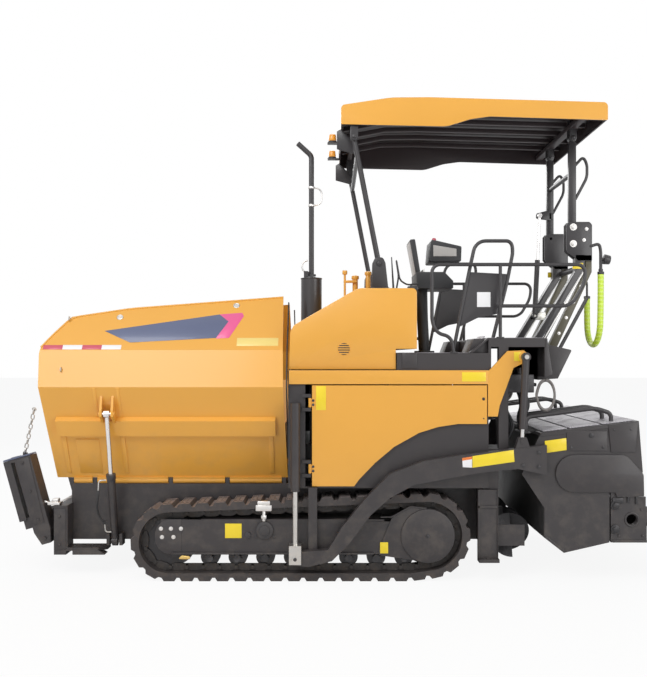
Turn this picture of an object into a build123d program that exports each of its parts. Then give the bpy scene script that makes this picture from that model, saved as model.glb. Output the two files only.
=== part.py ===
from build123d import *
import os
from math import atan2, cos, degrees, hypot, pi, radians, sin

# Asphalt paver on tracks. Millimetres, +X forward, +Y left, +Z up,
# origin on the ground under the middle of the machine.
# Sides are written for +Y and mirrored, so Y values are distances from the middle plane.

# ---- driving dimensions -------------------------------------------------
pin_gap = 0.3            # clearance round pins and bushes
seat_gap = 0.3           # curved faces that rest on each other

# tracks
track_y_in = 670
track_y_out = 970
idler_x, idler_z, idler_r = 1269, 290, 290
sprocket_x, sprocket_z, sprocket_r = -688, 340, 320
track_flat_end_x = -553        # between two shoes
shoe_count = 42
shoe_height = 26
shoe_tip_share = 0.60    # outer face of a shoe as a share of the pitch
shoe_foot_share = 0.84
belt_thickness = 34
chain_y_in, chain_y_out = 765, 875
chain_depth = 66

# track frame
tf_y_in, tf_y_out = 700, 940
tf_plate = 12
tf_z_low, tf_z_high = 199, 463
tf_front_x = 1337
roller_pitch = 212
roller_r = 72
hub_cover_r = 205

# chassis
frame_y_out = 630
frame_wall = 25
frame_x_front = 2100
frame_x_rear = -1180
frame_z_low = 250
frame_z_hopper = 690
frame_z_deck = 1000
plate_t = 20
floor_z = 600
floor_t = 12

# front frame, push rollers and front flaps
post_x_front = 2194
post_y_out = 790
post_z_low, post_z_high = 161, 543
push_roller_x, push_roller_z, push_roller_r = 2285, 430, 62
tie_x, tie_y, tie_r = 1920, 715, 22
rear_tie_x, rear_tie_y = -1143, 990
flap_pin_x, flap_pin_z = 2261, 292
flap_lean = 15.5
flap_y_in, flap_y_out = 640, 800
flap_length = 650
flap_depth = 215
flap_rear = 60            # part of the depth behind the pin line

chain_hook = (2292, 955, 1300)

# hopper wings
wing_hinge_y, wing_hinge_z = 615, 716
wing_t = 12
wing_section = [(628, 740), (1000, 1468), (905, 1748), (560, 2200)]   # (y, z)
wing_side = [(386, 726), (424, 2177), (1626, 2082), (2077, 2010), (2274, 1764),
             (2249, 1454), (2212, 726)]                                # (x, z)
wing_corner_r = 150
wing_pin_r = 12
wing_tube_r = 24
wing_lug_x = [400, 850, 1300, 1900, 2085]
wing_lug_t = 30

# hopper cylinders
hc_x = 1740
hc_base_y, hc_base_z = 690, 250
hc_eye_y, hc_eye_z = 965, 1264
hc_barrel_d, hc_rod_d = 62, 36
hc_barrel_len = 560

# body
body_front_x = 370
body_rear_x = -1150
body_y = 945
fender_z = 700
sill_z_low, sill_z_high = 1483, 1596
body_wall = 12
hood_y = 930
hood_wall = 14
hood_side = [(364, 1596), (356, 1885), (326, 1938), (-92, 2181), (-168, 2219), (-571, 2219),
             (-609, 2181), (-609, 1756), (-449, 1756), (-449, 1596)]   # (x, z)
door_y_in, door_y_out = 950, 970
door_x_front, door_x_rear = 188, -1134
door_z_low, door_z_high = 718, 1480
door_arch_z = 1189
door_hinge_x, door_hinge_y = 205, 962

# platform, rails, console
low_deck_z = 1725
high_deck_z = 1839
high_deck_x = -1577
rail_y = 925
rail_d = 38

# engine and exhaust
engine_box = (-430, 220, -380, 380, 1000, 1560)
muffler_x, muffler_y, muffler_r = 203, 450, 84
muffler_z_low, muffler_z_high = 1574, 2330
exhaust_pivot_z = 2372
exhaust_d = 42

# canopy
canopy_y = 825
canopy_x_front, canopy_x_rear = -33, -2093
canopy_t = 16
post_y, post_pivot_x, post_pivot_z = 370, -1937, 2756
post_top_z = 3490
post_d = 60
hoop_base_x, hoop_base_z = -328, 2420
hoop_top_x, hoop_top_z = -135, 3405
hoop_y = 750
hoop_d = 50
lift_y = 285             # the canopy cylinder stands inboard of the right bracket
lift_base_x, lift_base_z = -1780, 2060
lift_eye_x, lift_eye_z = -1825, 2957

# tow points, arms and screed
tow_x, tow_z, tow_y = 312, 192, 1042
tow_eye_r = 50
arm_y_in, arm_y_out = 1005, 1080
arm_upper = [(67, 259), (-37, 430), (-215, 646), (-394, 825), (-647, 921), (-930, 966),
             (-1316, 1011), (-1560, 1040)]                              # (x, z)
arm_lower = [(-1560, 817), (-1346, 862), (-1108, 840), (-840, 795), (-572, 743),
             (-394, 646), (-252, 520), (-89, 304), (38, 177)]           # (x, z)
level_x = 312
level_barrel_z_low, level_barrel_z_high = 690, 1350
slift_top_x, slift_top_z = -1413, 1695
slift_eye_x, slift_eye_z = -1383, 1070
screed_side = [(-1534, 1123), (-2271, 1214), (-2301, 830), (-2240, 700), (-2050, 700),
               (-2050, 300), (-1707, 221), (-1560, 335), (-1560, 560), (-1391, 815)]  # (x, z)
screed_y = 1000
screed_plate_t = 20
ext_x_front, ext_x_rear = -2062, -2330
ext_z_low, ext_z_high = 304, 640
ext_end = [(-2060, 690), (-2235, 690), (-2331, 560), (-2331, 300), (-2060, 300)]  # (x, z)
tie_hole_x, tie_hole_z, tie_hole_r = -2218, 472, 40
rail_z = (400, 580)
ext_y_in = 15
foot_x_rear = -2584

# auger
auger_x, auger_z, auger_r = -1367, 300, 178
auger_y_in, auger_y_out = 75, 900
auger_shaft_r = 45
auger_pitch = 280


# ---- small makers ---------------------------------------------------------
def block(x0, x1, y0, y1, z0, z1):
    """A box between two corners."""
    box = Box(abs(x1 - x0), abs(y1 - y0), abs(z1 - z0))
    return Pos((x0 + x1) / 2, (y0 + y1) / 2, (z0 + z1) / 2) * box


def bar(start, end, diameter):
    """A round bar between two points."""
    along = Vector(*end) - Vector(*start)
    place = Plane(origin=start, z_dir=along)
    return place * Cylinder(diameter / 2, along.length, align=(Align.CENTER, Align.CENTER, Align.MIN))


def side_plate(points, y0, y1, round_r=0):
    """A plate with its outline in the XZ plane, between two Y values."""
    face = make_face(Polyline(*points, close=True))
    if round_r:
        face = fillet(face.vertices(), round_r)
    place = Plane(origin=(0, max(y0, y1), 0), x_dir=(1, 0, 0), z_dir=(0, -1, 0))
    return place * extrude(face, abs(y1 - y0))


def cross_plate(points, x0, x1):
    """A plate with its outline in the YZ plane, between two X values."""
    face = make_face(Polyline(*points, close=True))
    place = Plane(origin=(min(x0, x1), 0, 0), x_dir=(0, 1, 0), z_dir=(1, 0, 0))
    return place * extrude(face, abs(x1 - x0))


def floor_plate(points, z0, z1):
    """A plate with its outline in the XY plane, between two heights."""
    face = make_face(Polyline(*points, close=True))
    return Pos(0, 0, z0) * extrude(face, z1 - z0)


def pipe(points, diameter, bend_r):
    """A bent round tube along straight runs with bends of one radius."""
    path = FilletPolyline(*points, radius=bend_r)
    start = Plane(origin=path @ 0, z_dir=path % 0)
    return sweep(start * Circle(diameter / 2), path=path, transition=Transition.ROUND)


def other_side(shape):
    """The same shape on the right side."""
    return mirror(shape, about=Plane.XZ)


def both(shape):
    """A left shape and its mirror image, as one group."""
    return Compound(children=[*shape.solids(), *other_side(shape).solids()])


def group(*shapes):
    """Separate solids of one node."""
    found = []
    for shape in shapes:
        found.extend(shape.solids())
    return Compound(children=found)


def write(name, shape):
    export_step(shape, "parts/" + name + ".step")


# ---- tracks -----------------------------------------------------------------
def belt_line(inset):
    """Closed track line round idler, sprocket and the last ground roller, as straights and arcs."""
    r_front = idler_r - inset
    r_rear = sprocket_r - inset
    low = idler_z - r_front
    # upper straight: outer tangent of both wheels
    dx = idler_x - sprocket_x
    dz = idler_z - sprocket_z
    turn = atan2(dz, dx) + pi / 2 - atan2(r_front - r_rear, hypot(dx, dz))
    top_front = (idler_x + r_front * cos(turn), idler_z + r_front * sin(turn))
    top_rear = (sprocket_x + r_rear * cos(turn), sprocket_z + r_rear * sin(turn))
    # lower rear straight: from the end of the flat run to the sprocket
    ex = sprocket_x - track_flat_end_x
    ez = sprocket_z - low
    reach = hypot(ex, ez)
    away = atan2(ez, ex) + atan2(r_rear, (reach ** 2 - r_rear ** 2) ** 0.5)
    run = (reach ** 2 - r_rear ** 2) ** 0.5
    low_rear = (track_flat_end_x + run * cos(away), low + run * sin(away))
    flat_end = (track_flat_end_x, low)
    low_front = (idler_x, low)
    return top_front, top_rear, low_rear, flat_end, low_front, r_front, r_rear


def belt_wire(inset):
    top_front, top_rear, low_rear, flat_end, low_front, r_front, r_rear = belt_line(inset)
    rear_mid = (sprocket_x - r_rear, sprocket_z)
    front_mid = (idler_x + r_front, idler_z)
    return Wire([
        Line(top_front, top_rear).edge(),
        ThreePointArc(top_rear, rear_mid, low_rear).edge(),
        Line(low_rear, flat_end).edge(),
        Line(flat_end, low_front).edge(),
        ThreePointArc(low_front, front_mid, top_front).edge(),
    ])


def track(y_in, y_out, link_in, link_out):
    """Endless belt with its shoes in the outline and the link chain on its inside."""
    line = belt_wire(shoe_height)
    pitch = line.length / shoe_count
    front_arc = line.edges()[-1].length
    first = (line.length - front_arc) % pitch      # so that one shoe lies flat under the idler
    outline = []
    for shoe in range(shoe_count):
        reach = first + shoe * pitch
        here = line.position_at(reach, position_mode=PositionMode.LENGTH)
        ahead = line.tangent_at(reach, position_mode=PositionMode.LENGTH)
        out = Vector(ahead.Y, -ahead.X, 0) * -1
        for share, height in ((-shoe_foot_share, 0), (-shoe_tip_share, shoe_height),
                              (shoe_tip_share, shoe_height), (shoe_foot_share, 0)):
            point = here + ahead * (pitch * share / 2) - out * height
            outline.append((point.X, point.Y))
    place = Plane(origin=(0, y_out, 0), x_dir=(1, 0, 0), z_dir=(0, -1, 0))
    shoes = place * extrude(make_face(Polyline(*outline, close=True)), y_out - y_in)
    hollow = place * extrude(make_face(belt_wire(shoe_height + belt_thickness)), y_out - y_in)
    link_place = Plane(origin=(0, link_out, 0), x_dir=(1, 0, 0), z_dir=(0, -1, 0))
    link_ring = link_place * extrude(
        make_face(belt_wire(shoe_height + belt_thickness)) - make_face(
            belt_wire(shoe_height + chain_depth)), link_out - link_in)
    return (shoes - hollow) + link_ring


def track_frame():
    """Side plates with the round hub cover, joined by a top plate and two webs."""
    outer = side_plate([(sprocket_x, tf_z_high - 20), (tf_front_x, tf_z_high),
                        (tf_front_x, tf_z_low + 60), (tf_front_x - 90, tf_z_low),
                        (sprocket_x + 330, tf_z_low), (sprocket_x, tf_z_low - 5)],
                       tf_y_out - tf_plate, tf_y_out)
    cover = Pos(sprocket_x, tf_y_out - tf_plate / 2 + 8, sprocket_z) * Rot(90, 0, 0) * Cylinder(
        hub_cover_r, tf_plate + 16)
    inner = side_plate([(sprocket_x, tf_z_high - 20), (tf_front_x, tf_z_high),
                        (tf_front_x, tf_z_low + 60), (tf_front_x - 90, tf_z_low),
                        (sprocket_x + 330, tf_z_low), (sprocket_x, tf_z_low - 5)],
                       tf_y_in, tf_y_in + tf_plate)
    top = block(sprocket_x + 330, idler_x - 240, tf_y_in, tf_y_out, tf_z_high - 14, tf_z_high)
    web = block(sprocket_x + 330, idler_x - 240, chain_y_in, chain_y_in + 12, tf_z_low + 60, tf_z_high)
    carrier = block(idler_x - 700, idler_x - 300, frame_y_out, tf_y_in, 290, 440)
    carrier_rear = block(sprocket_x + 340, sprocket_x + 640, frame_y_out, tf_y_in, 290, 440)
    return outer + cover + inner + top + web + carrier + carrier_rear


def track_wheels():
    """Idler, sprocket and ground rollers on shafts between the side plates."""
    y_low = tf_y_in + tf_plate
    y_high = tf_y_out - tf_plate
    wheel_gap = shoe_height + chain_depth + seat_gap

    def wheel(x, z, r, shaft_r):
        body = Pos(x, (chain_y_in + chain_y_out) / 2, z) * Rot(90, 0, 0) * Cylinder(r, 96)
        shaft = Pos(x, (y_low + y_high) / 2, z) * Rot(90, 0, 0) * Cylinder(shaft_r, y_high - y_low)
        return body + shaft

    found = [wheel(idler_x, idler_z, idler_r - wheel_gap, 45)]
    found.append(wheel(sprocket_x, sprocket_z, sprocket_r - wheel_gap, 60))
    roller_z = wheel_gap + roller_r
    count = int((idler_x - 330 - track_flat_end_x) / roller_pitch) + 1
    for i in range(count):
        found.append(wheel(track_flat_end_x + 40 + i * roller_pitch, roller_z, roller_r, 28))
    return found


# ---- chassis ------------------------------------------------------------------
def chassis_frame():
    """Two side plates with cross plates, a belly plate and the raised rear tunnel."""
    y_in = frame_y_out - frame_wall
    side = side_plate([(frame_x_rear, frame_z_low), (frame_x_front, frame_z_low),
                       (frame_x_front, frame_z_hopper), (body_front_x - body_wall, frame_z_hopper),
                       (body_front_x - body_wall, frame_z_deck), (frame_x_rear, frame_z_deck)],
                      y_in, frame_y_out)
    parts = side + other_side(side)
    parts += block(frame_x_rear, frame_x_front, -y_in, y_in, frame_z_low, frame_z_low + plate_t)
    for x in (frame_x_rear, -700, -100, 600, 1300, frame_x_front - plate_t):
        parts += block(x, x + plate_t, -y_in, y_in, frame_z_low, floor_z)
    parts += block(frame_x_rear, body_front_x - body_wall, -y_in, y_in,
                   frame_z_deck - plate_t, frame_z_deck)
    parts += block(frame_x_rear, frame_x_front, -y_in, y_in, floor_z, floor_z + floor_t)
    for x in wing_lug_x:
        lug = block(x, x + wing_lug_t, wing_hinge_y - 15, frame_y_out, frame_z_hopper,
                    wing_hinge_z + 22)
        parts += lug + other_side(lug)
    pin = bar((wing_lug_x[0], wing_hinge_y, wing_hinge_z),
              (wing_lug_x[-1] + wing_lug_t, wing_hinge_y, wing_hinge_z), 2 * wing_pin_r)
    parts += pin + other_side(pin)
    for shift in (-62, 38):
        ear = block(hc_x + shift, hc_x + shift + 24, frame_y_out, hc_base_y + 35,
                    hc_base_z - 30, hc_base_z + 60)
        parts += ear + other_side(ear)
    base_pin = bar((hc_x - 62, hc_base_y, hc_base_z), (hc_x + 62, hc_base_y, hc_base_z), 30)
    parts += base_pin + other_side(base_pin)
    return parts


def front_frame():
    """Corner posts, their foot plates and the push beam between them."""
    post = block(frame_x_front, post_x_front, frame_y_out + 10, post_y_out, post_z_low, post_z_high)
    foot = floor_plate([(frame_x_front, frame_y_out), (frame_x_front, post_y_out),
                        (1850, post_y_out), (1790, post_y_out - 60), (1790, frame_y_out)],
                       post_z_low + 30, post_z_low + 55)
    foot -= Pos(tie_x, tie_y, post_z_low) * Cylinder(tie_r, 200)
    web = block(frame_x_front - 12, frame_x_front, frame_y_out, post_y_out, post_z_low + 30,
                post_z_high)
    beam = block(frame_x_front, post_x_front - 20, -frame_y_out - 10, frame_y_out + 10, 300,
                 post_z_high)
    parts = beam + post + foot + web + other_side(post + foot + web)
    for y in (-560, -30, 500):
        bracket = side_plate([(post_x_front - 20, 350), (post_x_front - 20, 510),
                              (push_roller_x + 30, push_roller_z + 30),
                              (push_roller_x + 30, push_roller_z - 30)], y, y + 60)
        parts += bracket
    hole = bar((push_roller_x, -500, push_roller_z), (push_roller_x, 500, push_roller_z),
               2 * (20 + pin_gap))
    parts -= hole
    flap_ear = block(post_x_front - 20, flap_pin_x + 22, flap_y_in - 26, flap_y_in - 6,
                     flap_pin_z - 40, flap_pin_z + 40)
    flap_pin = bar((flap_pin_x, flap_y_in - 26, flap_pin_z),
                   (flap_pin_x, flap_y_out + 12, flap_pin_z), 24)
    parts += flap_ear + flap_pin + other_side(flap_ear + flap_pin)
    return parts


def push_rollers():
    """Two rollers on one shaft."""
    body = bar((push_roller_x, 40, push_roller_z), (push_roller_x, 490, push_roller_z),
               2 * push_roller_r)
    shaft = bar((push_roller_x, -495, push_roller_z), (push_roller_x, 495, push_roller_z), 40)
    return shaft + body + other_side(body)


def lean_point(along, across):
    """A point of the leaning flap, from its pin: along its length and across its depth."""
    lean = radians(flap_lean)
    return (flap_pin_x + along * sin(lean) + across * cos(lean),
            flap_pin_z + along * cos(lean) - across * sin(lean))


def front_flap():
    """Leaning flap: rear channel, front bar, top cap, foot block and a chain lug, with its pin eye."""
    y0, y1 = flap_y_in, flap_y_out
    low, high, nose = -flap_rear, 70, flap_depth - flap_rear
    channel = side_plate([lean_point(-45, -35), lean_point(-45, 35), lean_point(60, high),
                          lean_point(flap_length, high), lean_point(flap_length, low),
                          lean_point(60, low)], y0, y1)
    front = side_plate([lean_point(170, high + 30), lean_point(170, nose),
                        lean_point(flap_length, nose), lean_point(flap_length, high + 30)], y0, y1)
    cap = side_plate([lean_point(flap_length - 22, low), lean_point(flap_length, low),
                      lean_point(flap_length, nose), lean_point(flap_length - 22, nose)], y0, y1)
    foot = side_plate([lean_point(100, high - 5), lean_point(100, nose - 25),
                       lean_point(185, nose - 25), lean_point(185, high - 5)], y0 + 20, y1 - 20)
    lug = side_plate([lean_point(flap_length - 5, -40), lean_point(flap_length - 5, 10),
                      lean_point(flap_length + 30, 0), lean_point(flap_length + 30, -30)],
                     y1 - 46, y1 - 34)
    eye_hole = bar((flap_pin_x, y0 - 1, flap_pin_z), (flap_pin_x, y1 + 1, flap_pin_z),
                   24 + 2 * pin_gap)
    return channel + front + cap + foot + lug - eye_hole


def flap_chain():
    """The transport chain from the flap's lug to the wing's front edge."""
    x_low, z_low = lean_point(flap_length + 30, -15)
    start = (x_low, flap_y_out - 40, z_low)
    return bar(start, chain_hook, 22) - front_flap()


# ---- hopper ---------------------------------------------------------------------
def offset_section(points, thickness):
    """The inner line of a bent plate: each corner moved square to both its panels."""
    inner = []
    for i, (y, z) in enumerate(points):
        sides = []
        if i > 0:
            sides.append((points[i - 1], points[i]))
        if i < len(points) - 1:
            sides.append((points[i], points[i + 1]))
        normals = []
        for (y0, z0), (y1, z1) in sides:
            length = hypot(y1 - y0, z1 - z0)
            normals.append((-(z1 - z0) / length, (y1 - y0) / length))
        ny = sum(n[0] for n in normals) / len(normals)
        nz = sum(n[1] for n in normals) / len(normals)
        stretch = thickness / (ny * ny + nz * nz)
        inner.append((y + ny * stretch, z + nz * stretch))
    return inner


def hopper_wing():
    """Folded wing: bent plate cut to its side outline, rear end plate, beam, ears and hinge tube."""
    inner = offset_section(wing_section, wing_t)
    skin = cross_plate(wing_section + inner[::-1], 380, 2300)
    side = make_face(Polyline(*wing_side, close=True))
    corner = side.vertices().sort_by(Axis.X)[-1]
    side = fillet([corner], wing_corner_r)
    place = Plane(origin=(0, 1200, 0), x_dir=(1, 0, 0), z_dir=(0, -1, 0))
    limits = place * extrude(side, 700)
    wing = skin & limits
    end = cross_plate(wing_section + [(600, 2180), (600, 740)], 386, 398) & limits
    wing += end
    y0, z0 = wing_section[0]
    y1, z1 = wing_section[1]
    slope = (y1 - y0) / (z1 - z0)

    def skin_y(z):
        return y0 + (z - z0) * slope

    beam = cross_plate([(skin_y(1085), 1085), (skin_y(1085) + 45, 1085), (skin_y(1205) + 45, 1205),
                        (skin_y(1235), 1235)], 470, 2150)
    wing += beam
    for shift in (-52, 34):
        ear = cross_plate([(skin_y(1150), 1150), (hc_eye_y + 28, hc_eye_z - 20),
                           (hc_eye_y + 28, hc_eye_z + 25), (skin_y(1400), 1400)],
                          hc_x + shift, hc_x + shift + 18)
        wing += ear
        head_x = hc_x + shift + (18 if shift > 0 else -8)
        wing += bar((head_x, hc_eye_y, hc_eye_z), (head_x + 8, hc_eye_y, hc_eye_z), 44)
    for i in range(len(wing_lug_x) - 1):
        x_start = wing_lug_x[i] + wing_lug_t + 5
        x_end = wing_lug_x[i + 1] - 5
        tube = bar((x_start, wing_hinge_y, wing_hinge_z), (x_end, wing_hinge_y, wing_hinge_z),
                   2 * wing_tube_r)
        foot = cross_plate([(wing_hinge_y, wing_hinge_z + 10), (wing_hinge_y + 20, wing_hinge_z),
                            (y0 + 14, z0 + 2), (y0 - 12, z0 + 8)], x_start, x_end)
        wing += tube + foot
    wing -= bar((380, wing_hinge_y, wing_hinge_z), (2300, wing_hinge_y, wing_hinge_z),
                2 * (wing_pin_r + pin_gap))
    return wing


def along(start, end, distance):
    """The point a distance from start towards end."""
    direction = (Vector(*end) - Vector(*start)).normalized()
    point = Vector(*start) + direction * distance
    return (point.X, point.Y, point.Z)


def cylinder_barrel(base, eye, length, diameter, bore, pin_d, pin_axis):
    """Barrel with its base eye; the rod end is open."""
    body = bar(along(base, eye, 30), along(base, eye, length), diameter)
    eye_ring = Plane(origin=base, z_dir=pin_axis) * Cylinder(38, 40)
    barrel = body + eye_ring
    barrel -= bar(along(base, eye, 90), along(base, eye, length + 5), bore + 1)
    barrel -= Plane(origin=base, z_dir=pin_axis) * Cylinder(pin_d / 2 + pin_gap, 60)
    return barrel


def cylinder_rod(base, eye, start, diameter, pin_d, pin_axis, ear_gap):
    """Rod with its eye and the pin that floats between the ears."""
    body = bar(along(base, eye, start), along(base, eye, (Vector(*eye) - Vector(*base)).length - 20),
               diameter)
    ring = Plane(origin=eye, z_dir=pin_axis) * Cylinder(30, 40)
    pin = Plane(origin=eye, z_dir=pin_axis) * Cylinder(pin_d / 2, ear_gap - 2 * pin_gap)
    return body + ring + pin


def hopper_cylinder():
    base = (hc_x, hc_base_y, hc_base_z)
    eye = (hc_x, hc_eye_y, hc_eye_z)
    barrel = cylinder_barrel(base, eye, hc_barrel_len, hc_barrel_d, hc_rod_d, 30, (1, 0, 0))
    rod = cylinder_rod(base, eye, 420, hc_rod_d, 26, (1, 0, 0), 68)
    return barrel, rod


def conveyor_chains():
    """Two drag chains with flight bars across."""
    top = floor_z + floor_t
    parts = None
    for y in (-545, -30, 30, 545):
        strip = block(frame_x_rear + 20, frame_x_front - 60, y - 18, y + 18, top, top + 26)
        parts = strip if parts is None else parts + strip
    count = 16
    pitch = (frame_x_front - 160 - frame_x_rear) / (count - 1)
    for i in range(count):
        x = frame_x_rear + 40 + i * pitch
        parts += block(x, x + 30, -545, 545, top, top + 32)
    return parts


# ---- body ----------------------------------------------------------------------
def body_frame():
    """Fender deck, front wall, rear wall, side sills, corner posts and the arched lower panel."""
    x0, x1 = body_rear_x, body_front_x
    y0, y1 = frame_y_out, body_y
    fender = block(x0, x1, y0, y1, fender_z, fender_z + body_wall)
    front = block(x1 - body_wall, x1, y0, y1, fender_z, sill_z_high)
    rear = block(x0, x0 + body_wall, y0, y1, fender_z, sill_z_high)
    sill = block(x0, x1, y1 - body_wall, y1, sill_z_low + 5, sill_z_high)
    corner = block(door_hinge_x + 35, x1, y1 - body_wall, y1, fender_z, sill_z_high)
    arch = side_plate([(door_x_front, fender_z), (-167, 790), (-288, 915), (-431, 1036),
                       (-620, 1142), (-764, 1187), (-915, 1210), (x0, 1210), (x0, fender_z)],
                      y1 - body_wall, y1)
    half = fender + front + rear + sill + corner + arch
    centre_front = block(x1 - body_wall, x1, -y0, y0, frame_z_deck, sill_z_high)
    centre_rear = block(x0, x0 + body_wall, -y0, y0, frame_z_deck, sill_z_high)
    half += door_hinges()
    return half + other_side(half) + centre_front + centre_rear


def engine_hood():
    """Hood shell with a sloping front and a hole for the muffler."""
    outer = side_plate(hood_side, -hood_y, hood_y)
    w = hood_wall
    inner_side = [(364 - w, 1590), (356 - w, 1885 - 4), (326 - w + 2, 1938 - 12),
                  (-92 - 4, 2181 - w - 2), (-168, 2219 - w), (-571 + 5, 2219 - w),
                  (-609 + w, 2181 - 5), (-609 + w, 1756 + w), (-449 + w, 1756 + w),
                  (-449 + w, 1590)]
    hood = outer - side_plate(inner_side, -hood_y + w, hood_y - w)
    hood -= bar((muffler_x, muffler_y, 1700), (muffler_x, muffler_y, 2400), 2 * muffler_r + 24)
    return hood


def side_door():
    """Door with its arched rear lower edge and two hinge knuckles."""
    panel = side_plate([(door_x_front, door_z_low), (door_x_front, door_z_high),
                        (door_x_rear, door_z_high), (door_x_rear, door_arch_z), (-915, 1189),
                        (-764, 1166), (-620, 1121), (-431, 1015), (-288, 894), (-167, 769),
                        (-130, door_z_low)], door_y_in, door_y_out)
    for z in (850, 1350):
        panel += Pos(door_hinge_x, door_hinge_y, z) * Cylinder(11, 70)
        panel += block(door_x_front, door_hinge_x, door_y_in + 5, door_y_out - 5, z - 30, z + 30)
        panel -= Pos(door_hinge_x, door_hinge_y, z) * Cylinder(5 + pin_gap, 90)
    return panel


def door_hinges():
    """Hinge pins with their brackets on the corner post."""
    parts = None
    for z in (850, 1350):
        pin = Pos(door_hinge_x, door_hinge_y, z) * Cylinder(5, 130)
        bracket = block(door_hinge_x - 8, door_hinge_x + 60, body_y, door_hinge_y + 8, z + 40, z + 65)
        bracket += block(door_hinge_x - 8, door_hinge_x + 60, body_y, door_hinge_y + 8, z - 65, z - 40)
        parts = pin + bracket if parts is None else parts + pin + bracket
    return parts


def engine_block():
    x0, x1, y0, y1, z0, z1 = engine_box
    return block(x0, x1, y0, y1, z0, z1)


def platform():
    """Lower step deck, riser and upper deck, with skirts and rear posts."""
    x_front = -454
    low = block(x_front, body_rear_x, -body_y, body_y, low_deck_z - 14, low_deck_z)
    low += block(x_front - 12, x_front, -body_y, body_y, sill_z_high, low_deck_z)
    skirt = block(x_front, body_rear_x, body_y - 14, body_y, sill_z_high, low_deck_z)
    low += skirt + other_side(skirt)
    riser = block(body_rear_x - 20, body_rear_x, -body_y, body_y, sill_z_high, high_deck_z)
    high = block(high_deck_x, body_rear_x, -body_y, body_y, high_deck_z - 14, high_deck_z)
    rim = block(high_deck_x, body_rear_x, body_y - 14, body_y, high_deck_z - 68, high_deck_z)
    post = block(-1300, -1228, body_y - 70, body_y, frame_z_deck, high_deck_z - 14)
    shelf = block(-1300, body_rear_x, frame_y_out, body_y, frame_z_deck - 20, frame_z_deck)
    return low + riser + high + rim + other_side(rim) + post + shelf + other_side(post + shelf)


def lift_brackets():
    """Side plates that carry the screed lift cylinders, with their pins."""
    plate = side_plate([(body_rear_x + 8, 1583), (-1290, 1740), (-1413, 1745), (-1455, 1700), (-1413, 1650),
                        (-1335, 1613), (-1230, 1328), (-1215, 1245), (body_rear_x + 8, 1245)],
                       body_y, body_y + 25)
    return plate - bar((slift_top_x, body_y - 1, slift_top_z),
                       (slift_top_x, body_y + 30, slift_top_z), 34 + 2 * pin_gap)


def lift_pin():
    """The pin in the bracket that a screed lift cylinder hangs from."""
    pin = bar((slift_top_x, body_y, slift_top_z), (slift_top_x, tow_y + 35, slift_top_z), 34)
    return pin + bar((slift_top_x, body_y + 30, slift_top_z), (slift_top_x, tow_y - 22, slift_top_z), 50)


def console():
    """Column, body, control box and screen."""
    column = block(-775, -677, 340, 460, low_deck_z, 2240)
    body = side_plate([(-640, 2234), (-923, 2234), (-923, 2300), (-860, 2365), (-640, 2365)], 200, 600)
    neck = block(-760, -700, 340, 460, 2360, 2470)
    box = side_plate([(-718, 2463), (-988, 2463), (-988, 2560), (-740, 2644)], 240, 560)
    screen = side_plate([(-612, 2365), (-660, 2365), (-700, 2627), (-640, 2627)], 250, 550)
    return column + body + neck + box + screen


def above_deck(shape):
    """The shape without what would reach into the platform."""
    return shape - platform()


def guard_rails():
    """Side rails on both sides of the platform."""
    z_top, z_mid = 2392, 2081
    top = pipe([(-887, rail_y, low_deck_z), (-864, rail_y, 1846), (-713, rail_y, 1990),
                (-713, rail_y, 2230), (-850, rail_y, z_top), (-1789, rail_y, z_top),
                (-1850, rail_y, 2250), (-1560, rail_y, high_deck_z)], rail_d, 45)
    mid = bar((-1243, rail_y, z_mid), (-1720, rail_y, z_mid), rail_d - 8)
    post = bar((-1243, rail_y, high_deck_z), (-1243, rail_y, z_top), rail_d - 4)
    return above_deck(top + mid + post)


def seat_guards():
    """Bent hoops with their plates beside the operator's places."""
    y = rail_y - 60
    hoop = pipe([(-887, y, low_deck_z), (-1016, y, 2339), (-1062, y, 2574), (-1340, y, 2574),
                 (-1289, y, 2195), (-1198, y, high_deck_z)], 34, 40)
    plate = side_plate([(-1010, 2330), (-1305, 2330), (-1235, 2040), (-1100, 2000), (-945, 1930)],
                       y - 4, y + 4)
    return above_deck(hoop + plate)


# ---- exhaust --------------------------------------------------------------------
def muffler():
    foot = block(muffler_x - 80, muffler_x, 300, muffler_y + 60, engine_box[5], muffler_z_low)
    can = foot + Pos(muffler_x, muffler_y, (muffler_z_low + muffler_z_high) / 2) * Cylinder(
        muffler_r, muffler_z_high - muffler_z_low)
    neck = bar((muffler_x, muffler_y, muffler_z_high), (muffler_x, muffler_y, exhaust_pivot_z - 27), 70)
    pin_reach = 52
    ear = None
    for side in (-1, 1):
        plate = block(muffler_x + 25, muffler_x + 60, muffler_y + side * 42,
                      muffler_y + side * pin_reach, exhaust_pivot_z - 60, exhaust_pivot_z + 16)
        ear = plate if ear is None else ear + plate
    ear += block(muffler_x + 25, muffler_x + 60, muffler_y - pin_reach, muffler_y + pin_reach,
                 exhaust_pivot_z - 60, exhaust_pivot_z - 46)
    pin = bar((muffler_x + 45, muffler_y - pin_reach, exhaust_pivot_z),
              (muffler_x + 45, muffler_y + pin_reach, exhaust_pivot_z), 12)
    return can + neck + ear + pin


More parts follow.
